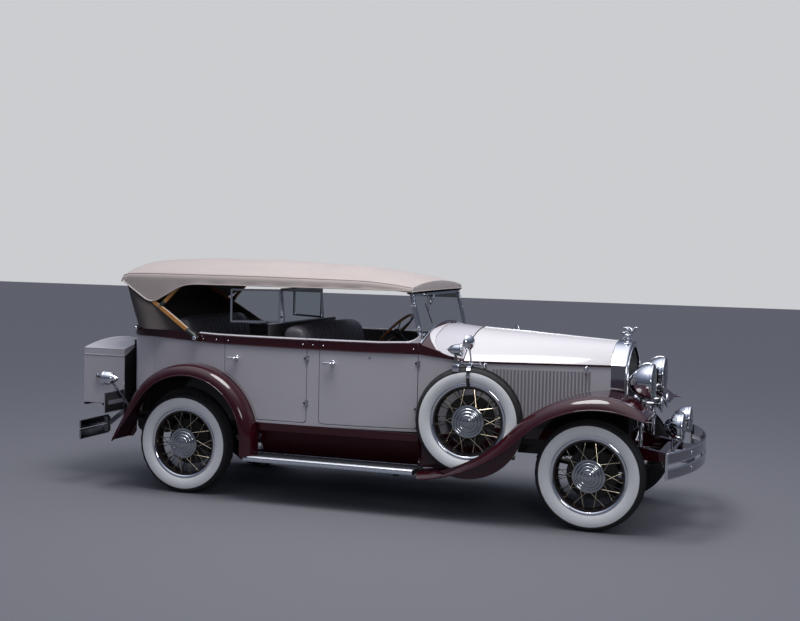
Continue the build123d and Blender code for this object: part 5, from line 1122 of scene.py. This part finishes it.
HEM_ROWS = mm(-2215, 1760, -2170, 1735, -1896.5, 1572, -1840, 1596, -1711.5, 1667, -1605.5, 1727,
    -1500, 1742, -500, 1746, 250, 1748, 360, 1746, 444.5, 1744)
SHOULDER_DROP, CROWN_SHARE, CANVAS_SAG = 0.034, 0.9, 0.007
HOOPS = (-2.1695, -1.5995, -0.9095, -0.2055, 0.4215)


def shell(form, rows, thickness, paint=0):
    """Closed thin sheet under a skin of rows."""
    count, width = len(rows), len(rows[0])
    inner = []
    for i, row in enumerate(rows):
        line = []
        for k, point in enumerate(row):
            down = Vector(rows[min(i + 1, count - 1)][k]) - Vector(rows[max(i - 1, 0)][k])
            across = Vector(row[min(k + 1, width - 1)]) - Vector(row[max(k - 1, 0)])
            normal = down.cross(across)
            normal = normal.normalized() if normal.length > 1e-9 else Vector((0, 0, 1))
            line.append(Vector(point) - normal * thickness)
        inner.append(line)
    form.grid(rows, paint=paint)
    form.grid(inner, paint=paint)
    for a, b in ((rows[0], inner[0]), (rows[-1], inner[-1])):
        form.grid([a, b], paint=paint)
    for k in (0, -1):
        form.grid([[row[k] for row in rows], [row[k] for row in inner]], paint=paint)


def smooth_between(rows, x):
    """Value along rows, eased at each corner."""
    reach = min(0.05, x + 2.22)
    return sum(between(rows, min(max(x + reach * w, rows[0][0]), rows[-1][0]))
        for w in (-1, -0.5, 0, 0.5, 1)) / 5


def roof_row(x):
    """Points across the top at X, from the right hem over the ridge to the left hem."""
    half, edge, ridge, hem = (smooth_between(rows, x)
        for rows in (HALF_ROWS, EDGE_Z_ROWS, RIDGE_ROWS, HEM_ROWS))
    slack = 0.0
    for rear, front in zip(HOOPS, HOOPS[1:]):
        if rear < x < front:
            slack = CANVAS_SAG * math.sin(math.pi * (x - rear) / (front - rear)) ** 2
    side = []
    for n in range(7):
        t = n / 6
        flutter = 0.0025 * math.sin(x * 21) * (1 - t)
        side.append((half + flutter + 0.004 * (1 - t), hem + (edge - SHOULDER_DROP - hem) * t))
    corner = []
    inner_z = edge + (ridge - edge) * (1 - CROWN_SHARE ** 2.2) ** 0.85
    for n in range(1, 8):
        t = n / 8
        a, b, c = (1 - t) ** 2, 2 * t * (1 - t), t * t
        corner.append((a * half + b * half + c * half * CROWN_SHARE,
            a * (edge - SHOULDER_DROP) + b * (edge + 0.022) + c * inner_z))
    crown = []
    for n in range(15):
        u = CROWN_SHARE * (1 - n / 14)
        crown.append((half * u, edge + (ridge - edge) * (1 - u ** 2.2) ** 0.85 - slack * (
            1 - u ** 3)))
    right = side + corner + crown
    return [(x, -y, z) for y, z in right] + [(x, y, z) for y, z in reversed(right[:-1])]


ROOF_XS = [-2.215, -2.208, -2.198, -2.185] + [-2.17 + 0.032 * n for n in range(81)] + [0.405, 0.425,
    0.437, 0.4445]
roof_rows = [roof_row(x) for x in ROOF_XS]
FOLD_Z = 1.742
for keep in (0.86, 0.58, 0.3, 0.06):
    roof_rows.append([(0.4462 if keep > 0.7 else 0.4468, y, FOLD_Z + (z - FOLD_Z) * keep)
        for _, y, z in roof_rows[len(ROOF_XS) - 1]])
top = Form()
shell(top, roof_rows, 0.003)
roof = top.piece("canvas_top", [canvas], "chassis", "tan_canvas", 50, replaces=("top_cloth",))
across = sum((Vector(a) - Vector(b)).length for a, b in zip(roof_rows[40], roof_rows[40][1:]))
seams = Form()
for side in SIDES:
    shoulder = []
    hem_line = []
    for x in ROOF_XS[2:-1]:
        row = roof_row(x)
        picked = row[10] if side < 0 else row[len(row) - 11]
        shoulder.append((x, picked[1] * 1.001, picked[2] + 0.0012))
        hem = row[0] if side < 0 else row[-1]
        hem_line.append((x, hem[1] + side * 0.0005, hem[2] + 0.002))
    seams.tube(shoulder, 0.0026, 8)
    seams.tube([p for p in hem_line if p[0] > -1.9], 0.004, 8)
    seams.tube([p for p in hem_line if p[0] <= -1.87], 0.0052, 8, paint=1)
seams.tube([(x, y, z - 0.002) for x, y, z in roof_rows[-1]], 0.0042, 8)
welt = seams.piece("top_welts", [canvas, pale_binding], "chassis", "tan_canvas")
# Painted shade: a black strip under the top's folded front stands for the shade below the header.
header = Form()
header.block((0.4005, -0.655, 1.722), (0.4365, 0.655, 1.752), 0.006)
header.piece("header_shade_strip", [rim_black], "chassis", "black_steel")

# Rear curtain: a sheet of canvas, coloured dark brown as painted shade, hung from the rear bow. Its
# foot is fixed to the body's top edge and its front edges follow the wood bows; a glass window is
# sewn in.
CURTAIN_COLUMNS = 56
CORNER = mm(-1899.5, 733, -2077.5, 561, -2143.5, 368, -2221.5, 0)


def corner_line(points, count):
    """Evenly spaced points along a smooth plan line."""
    fine = curve([(x, y, 0) for x, y in points], 20)
    lengths = [0.0]
    for a, b in zip(fine, fine[1:]):
        lengths.append(lengths[-1] + (b - a).length)
    line = []
    for n in range(count + 1):
        want = lengths[-1] * n / count
        k = max(i for i, value in enumerate(lengths) if value <= want + 1e-9)
        k = min(k, len(fine) - 2)
        part = (want - lengths[k]) / max(lengths[k + 1] - lengths[k], 1e-9)
        line.append(fine[k].lerp(fine[k + 1], min(part, 1)))
    return line


foot = corner_line([(-1.452, side_y(-1.452) - 0.006), (-1.68, side_y(-1.68) - 0.006), *CORNER],
    CURTAIN_COLUMNS)
foot = [Vector((p.x, p.y, between(EDGE_ROWS, max(p.x, -2.24)) + 0.004)) for p in foot]
head = [Vector(p) for p in curve([(-1.462, 0.708, 1.338), (-1.7, 0.672, 1.49), (-1.95, 0.64, 1.64),
    (-2.178, 0.606, 1.79), (-2.198, 0.5, 1.82), (-2.203, 0.25, 1.85), (-2.205, 0.0, 1.86)], 12)]
spans = len(head) - 1
head_line = []
for n in range(CURTAIN_COLUMNS + 1):
    reach = n / CURTAIN_COLUMNS * spans
    k = min(int(reach), spans - 1)
    head_line.append(head[k].lerp(head[k + 1], reach - k))
half_rows = []
for low, high in zip(foot, head_line):
    column = []
    for n in range(15):
        t = n / 14
        point = low.lerp(high, t)
        bulge = 0.01 * math.sin(math.pi * t)
        fold = 0.0035 * math.sin(point.y * 34 + point.x * 17) * math.sin(math.pi * t)
        way = Vector((point.x + 1.55, point.y, 0)).normalized()
        column.append(point + way * (bulge * 0.3 + fold))
    half_rows.append(column)
left = [[(p.x, p.y, p.z) for p in column] for column in half_rows]
right_side = [[(x, -y, z) for x, y, z in column] for column in left]
rows = left + right_side[-2::-1]
hanging = Form()
shell(hanging, rows, 0.003)
curtain = hanging.piece("rear_curtain", [curtain_canvas_painted_shade], "chassis", "tan_canvas", 50)
window = Form()
window.tube([(-2.2235, -0.3, 1.545), (-2.2035, -0.3, 1.675), (-2.2035, 0.3, 1.675),
    (-2.2235, 0.3, 1.545)], 0.01, 10, closed=True, flat=0.6)
window.block((-0.0025, -0.3, -0.066), (0.0025, 0.3, 0.066), 0.001,
    Matrix.Translation((-2.213, 0, 1.61)) @ Matrix.Rotation(0.15, 4, "Y"), paint=1)
for row in (left, right_side):
    line = [column[-1] for column in row]
    window.tube([(x, y * 1.004, z + 0.002) for x, y, z in line[:44]], 0.004, 8, paint=2)
pane = window.piece("curtain_window", [bright, glass, pale_binding], "chassis", "clear_glass")
girth_foot = 2 * sum((a - b).length for a, b in zip(foot, foot[1:]))
tall = max((a - b).length for a, b in zip(foot, head_line))
cut = 0.0
for one, two in zip(half_rows, half_rows[1:]):
    for a, b, c, d in zip(one, one[1:], two, two[1:]):
        cut += (d - a).cross(c - b).length

# Bows: steam-bent ash, oiled and varnished, with steel sockets at the foot and a bright knob
# on each pivot; a bright ball on the belt's rear corner takes the folded top.
bow_ash = finish("bow_ash", ((16, 6, (1, 1, 7)), (0.34, 0.135, 0.03), (0.62, 0.3, 0.085)),
    ((16, 6, (1, 1, 7)), 0.25, 0.28), ((16, 6, (1, 1, 7)), 0.2, 0.0006), Coat_Weight=0.6,
    Coat_Roughness=0.12)
# The front bow, ahead of X 0.2, is black enamel as painted shade under the front of the top.
cover("top_bows", bow_ash, rim_black, rule=lambda p, n: 1 if p.x > 0.2 else 0)
iron = finish("bow_iron", ((60, 4), (0.035, 0.042, 0.038), (0.085, 0.095, 0.088)),
    ((70, 4), 0.3, 0.3), Metallic=0.7)
BOW_FOOT_X, BOW_FOOT_Y, BOW_FOOT_Z = -1.4255, 0.7286, 1.301
BALL_X, BALL_Y = -2.06, 0.628
for side, hand in HANDS:
    fittings = Form()
    foot_point = Vector((BOW_FOOT_X, side * BOW_FOOT_Y, BOW_FOOT_Z))
    run = Vector((-0.76, -side * 0.122, 0.48)).normalized()
    fittings.tube([foot_point + run * t for t in (0.0, 0.018, 0.03, 0.11, 0.118)],
        [0.012, 0.0195, 0.0215, 0.021, 0.0185], 14)
    here = outward(foot_point, side)
    fittings.turned(mm(0.1, -30, 21, -30, 21.5, 18, 15, 21), here, 28)
    fittings.turned(mm(15, 20, 14.5, 24, 18, 29, 19.5, 36, 17.5, 43, 10, 48, 0.1, 50), here, 28,
        paint=1)
    elbow = Vector((-1.8115, side * 0.655, 1.545))
    lift = Vector((0.212, -side * 0.021, 0.225)).normalized()
    fittings.tube([elbow - lift * 0.012, elbow + lift * 0.012, elbow + lift * 0.055,
        elbow + lift * 0.06], [0.017, 0.0205, 0.0195, 0.016], 12)
    fittings.turned(mm(0.1, 4, 10, 4, 10, 10, 0.1, 12),
        outward(elbow + Vector((0.006, side * 0.018, 0.006)), side), 16, paint=1)
    ball = Matrix.Translation((BALL_X, side * BALL_Y, 1.352))
    fittings.turned(mm(0.1, -18, 7.5, -16.5, 14, -11.5, 17.8, -3.5, 17.8, 3.5, 14, 11.5, 7.5, 16.5,
        0.1, 18), ball, 28, paint=1)
    fittings.tube([(BALL_X, side * BALL_Y, 1.344), (-2.044, side * 0.602, 1.336),
        (-2.02, side * 0.58, 1.33)], 0.0085, 10)
    fittings.piece(f"bow_fittings_{hand}", [iron, bright], "chassis", "chrome")

# Spare fittings: a bright strap over each tyre with a clamp bar, a dark buckle strap down to
# the wheel, and a round rear-view mirror on a post.
mirror_glass = finish("mirror_glass", rough=((20, 3), 0.03, 0.015), Base_Color=(0.86, 0.88, 0.9),
    Metallic=1.0)
strap_hide = finish("strap_leather", ((60, 5), (0.014, 0.012, 0.012), (0.035, 0.03, 0.03)),
    Roughness=0.5)
STRAP_THICK = 0.003
for side, hand in HANDS:
    spare = Matrix.Translation((SPARE_X, side * SPARE_Y, SPARE_Z)) @ Matrix.Rotation(
        math.radians(-SPARE_TURN * side), 4, "Z")
    strap = Form()
    across = []
    for n in range(17):
        a = math.pi * (n / 16)
        y = 0.094 * math.cos(a)
        lift = 0.4165 + 0.01 - 0.03 * abs(math.cos(a)) ** 3.5 - (0.022 if n in (0, 16) else 0)
        across.append((y, lift))
    band = []
    for x in (-0.014, 0.014):
        band.append([(x, y, z) for y, z in across]
            + [(x, y * 0.97, z - 0.0035) for y, z in reversed(across)])
    strap.grid(band, spare, round_columns=True)
    strap.ends(band, spare)
    strap.block((-0.08, 0.012, 0.424), (0.082, 0.036, 0.442), 0.005, spare)
    low, high = sorted((side * 0.02, side * 0.082))
    strap.block((-0.128, low, 0.378), (-0.072, high, 0.44), 0.01, spare)
    strap.block((-0.018, -0.03, 0.424), (0.018, 0.034, 0.446), 0.006, spare)
    for x in (-0.07, 0.072):
        strap.turned(mm(0.1, 0, 7, 0, 8, 6, 5, 11, 0.1, 12),
            spare @ Matrix.Translation((x, 0.024, 0.442)), 16)
    strap.tube([(0.0, 0.024, 0.444), (0.0, 0.02, 0.48), (-0.004, 0.004, 0.52),
        (-0.006, 0.0, 0.548)], [0.0085, 0.0062, 0.0058, 0.0075], 12, place=spare)
    face = (spare @ Matrix.Translation((-0.012, 0.0, 0.6))
        @ Matrix.Rotation(math.radians(side * 40), 4, "Z") @ Matrix.Rotation(-math.pi / 2, 4, "Y"))
    strap.turned(mm(0.1, -26, 16, -24.5, 34, -19, 49, -10, 57, -1, 59, 4, 58, 7.5, 55, 8.5,
        53.5, 6.5), face, 48)
    strap.turned(mm(54, 6.8, 0.1, 7.2), face, 40, paint=1)
    path = mm(92.5, 398, 98.5, 372, 99, 340, 96, 312, 88, 290, 70, 268)
    rows = []
    for x in (-0.0125, 0.0125):
        rows.append([(x, side * y, z) for y, z in path]
            + [(x, side * (y - STRAP_THICK), z) for y, z in reversed(path)])
    strap.grid(rows, spare, round_columns=True, paint=2)
    strap.ends(rows, spare, 2)
    strap.block((-0.017, side * 0.1 - 0.003, 0.338), (0.017, side * 0.1 + 0.003, 0.366), 0.002,
        spare)
    strap.piece(f"spare_strap_and_mirror_{hand}", [bright, mirror_glass, strap_hide], "chassis",
        "chrome", 40, replaces=("spare_mirrors",) if side < 0 else ())

# Cowl lamps: small spun bullets plated bright, drawn to a point behind. Each stands on a curved
# bracket that is bolted through the side of the cowl.
bullets = Form()
for side in SIDES:
    here = fore((COWL_LAMP_X, side * COWL_LAMP_Y, COWL_LAMP_Z))
    bullets.turned(mm(0.1, -128, 3, -124, 6, -114, 18, -106, 31, -88, 41, -60, 46.5, -28, 48, -4,
        48, 0), here, 44)
    bullets.tube([(0.82, side * 0.7, 1.264), (0.818, side * 0.696, 1.242),
        (0.812, side * 0.672, 1.222), (0.808, side * 0.63, 1.214), (0.806, side * 0.6, 1.214)],
        [0.013, 0.01, 0.0095, 0.0105, 0.016], 12)
    bullets.turned(mm(0.1, 6, 16, 6, 21, 2, 21, -3), outward((0.808, side * 0.616, 1.214), side),
        24)
bullets.piece("cowl_lamp_shells", [bright], "chassis", "chrome", replaces=("cowl_lamps",))

# Trunk: painted steel over wood, with a rolled lip round the lid, bright draw catches on the
# rear face and a carrying handle at each end.
TRUNK_X, TRUNK_END_X, TRUNK_HALF, TRUNK_SEAM = -2.6575, -2.2535, 0.5, 1.08


def box_rule(point, normal):
    """1, black, on the trunk's front face and inside it."""
    inside = abs(point.y) < TRUNK_HALF - 0.005 and TRUNK_X + 0.005 < point.x and point.z > 0.67
    return 1 if point.x > TRUNK_END_X - 0.002 or inside else 0


def lid_rule(point, normal):
    """1, black, between the hinges on the lid's front face."""
    return 1 if abs(point.y) < 0.32 and point.x > TRUNK_END_X - 0.002 else 0


cover("trunk_box", cream, chassis_black, rule=box_rule)
cover("trunk_lid", cream, chassis_black, rule=lid_rule)
lip = Form()
crown = [(y, 1.147 + 0.061 * (1 - (y / TRUNK_HALF) ** 2)) for y in spread(TRUNK_HALF, 32)]
for x in (TRUNK_X + 0.0035, TRUNK_END_X - 0.0035):
    lip.tube([(x, y, z - 0.0015) for y, z in crown], 0.005, 8)
for side in SIDES:
    lip.tube([(x, side * (TRUNK_HALF - 0.0035), 1.1455)
        for x in (TRUNK_X + 0.002, -2.45, TRUNK_END_X - 0.002)], 0.005, 8)
    lip.tube([(x, side * (TRUNK_HALF + 0.0005), TRUNK_SEAM + 0.009)
        for x in (TRUNK_X + 0.001, -2.45, TRUNK_END_X - 0.001)], 0.0045, 8)
lip.tube([(TRUNK_X - 0.0005, y, TRUNK_SEAM + 0.009) for y in (-0.498, 0, 0.498)], 0.0045, 8)
for y in (-0.3, 0.3):
    lip.block((TRUNK_X - 0.006, y - 0.013, 1.1), (TRUNK_X + 0.002, y + 0.013, 1.128), 0.002,
        paint=1)
    lip.tube([(TRUNK_X - 0.007, y - 0.008, 1.108), (TRUNK_X - 0.012, y, 1.114),
        (TRUNK_X - 0.007, y + 0.008, 1.108)], 0.003, 8, paint=1)
lip.piece("trunk_lid_lip", [cream, bright], "trunk_lid", "cream_paint")
hardware = Form()
for y in (-0.3, 0.3):
    hardware.block((TRUNK_X - 0.006, y - 0.014, 1.018), (TRUNK_X + 0.002, y + 0.014, 1.066), 0.002)
    hardware.tube([(TRUNK_X - 0.008, y, 1.03), (TRUNK_X - 0.016, y, 1.036),
        (TRUNK_X - 0.017, y, 1.06), (TRUNK_X - 0.01, y, 1.072)], [0.005, 0.006, 0.005, 0.003], 10)
for side in SIDES:
    grip = curve([(-2.52, side * 0.512, 0.905), (-2.505, side * 0.521, 0.9),
        (-2.455, side * 0.523, 0.896), (-2.405, side * 0.521, 0.9), (-2.39, side * 0.512, 0.905)],
        5)
    hardware.tube(grip, 0.0075, 10, paint=1)
    for x in (-2.52, -2.39):
        hardware.turned(mm(0.1, 14, 8, 13, 11, 6, 17, 3, 17, -1),
            outward((x, side * TRUNK_HALF, 0.908), side), 24)
for x in (TRUNK_X, TRUNK_END_X):
    for side in SIDES:
        hardware.tube([(x - math.copysign(0.003, x + 2.45), side * (TRUNK_HALF - 0.003), z)
            for z in (0.668, 0.87, 1.076)], 0.0048, 8, paint=2)
hardware.piece("trunk_hardware", [bright, strap_hide, cream], "chassis", "chrome")

# Rear plate: blank black enamelled steel in a bright frame, held by two screws. It hangs from
# the bracket under the right tail lamp.
plate_black = finish("plate_enamel", ((40, 4), (0.012, 0.012, 0.013), (0.026, 0.025, 0.026)),
    ((90, 3), 0.15, 0.3), Coat_Weight=0.5, Coat_Roughness=0.1)
plate = Form()
PLATE_X, PLATE_Y, PLATE_Z = -2.2265, -0.7, 0.7175
plate.block((PLATE_X, PLATE_Y - 0.15, 0.635), (PLATE_X + 0.004, PLATE_Y + 0.15, 0.8), 0.0015)
plate.block((-2.2272, PLATE_Y - 0.14, 0.645), (-2.226, PLATE_Y + 0.14, 0.79), 0.0005)
corners = [(PLATE_X + 0.001, PLATE_Y + a * 0.151, PLATE_Z + b * 0.0835)
    for a, b in ((-1, -1), (-1, 1), (1, 1), (1, -1))]
plate.tube(corners, 0.0048, 8, closed=True, paint=1)
for y in (-0.7889, -0.6111):
    plate.turned(mm(7.5, 0, 8.5, 3, 5, 6, 0.1, 7), fore((PLATE_X, y, PLATE_Z), -1), 16, paint=1)
plate.tube([(PLATE_X, PLATE_Y, 0.797), (-2.222, PLATE_Y, 0.83), (-2.226, -0.706, 0.862),
    (-2.232, -0.715, 0.882)], [0.006, 0.007, 0.008, 0.01], 10, paint=1)
plate.piece("blank_plate", [plate_black, bright], "chassis", "black_steel")
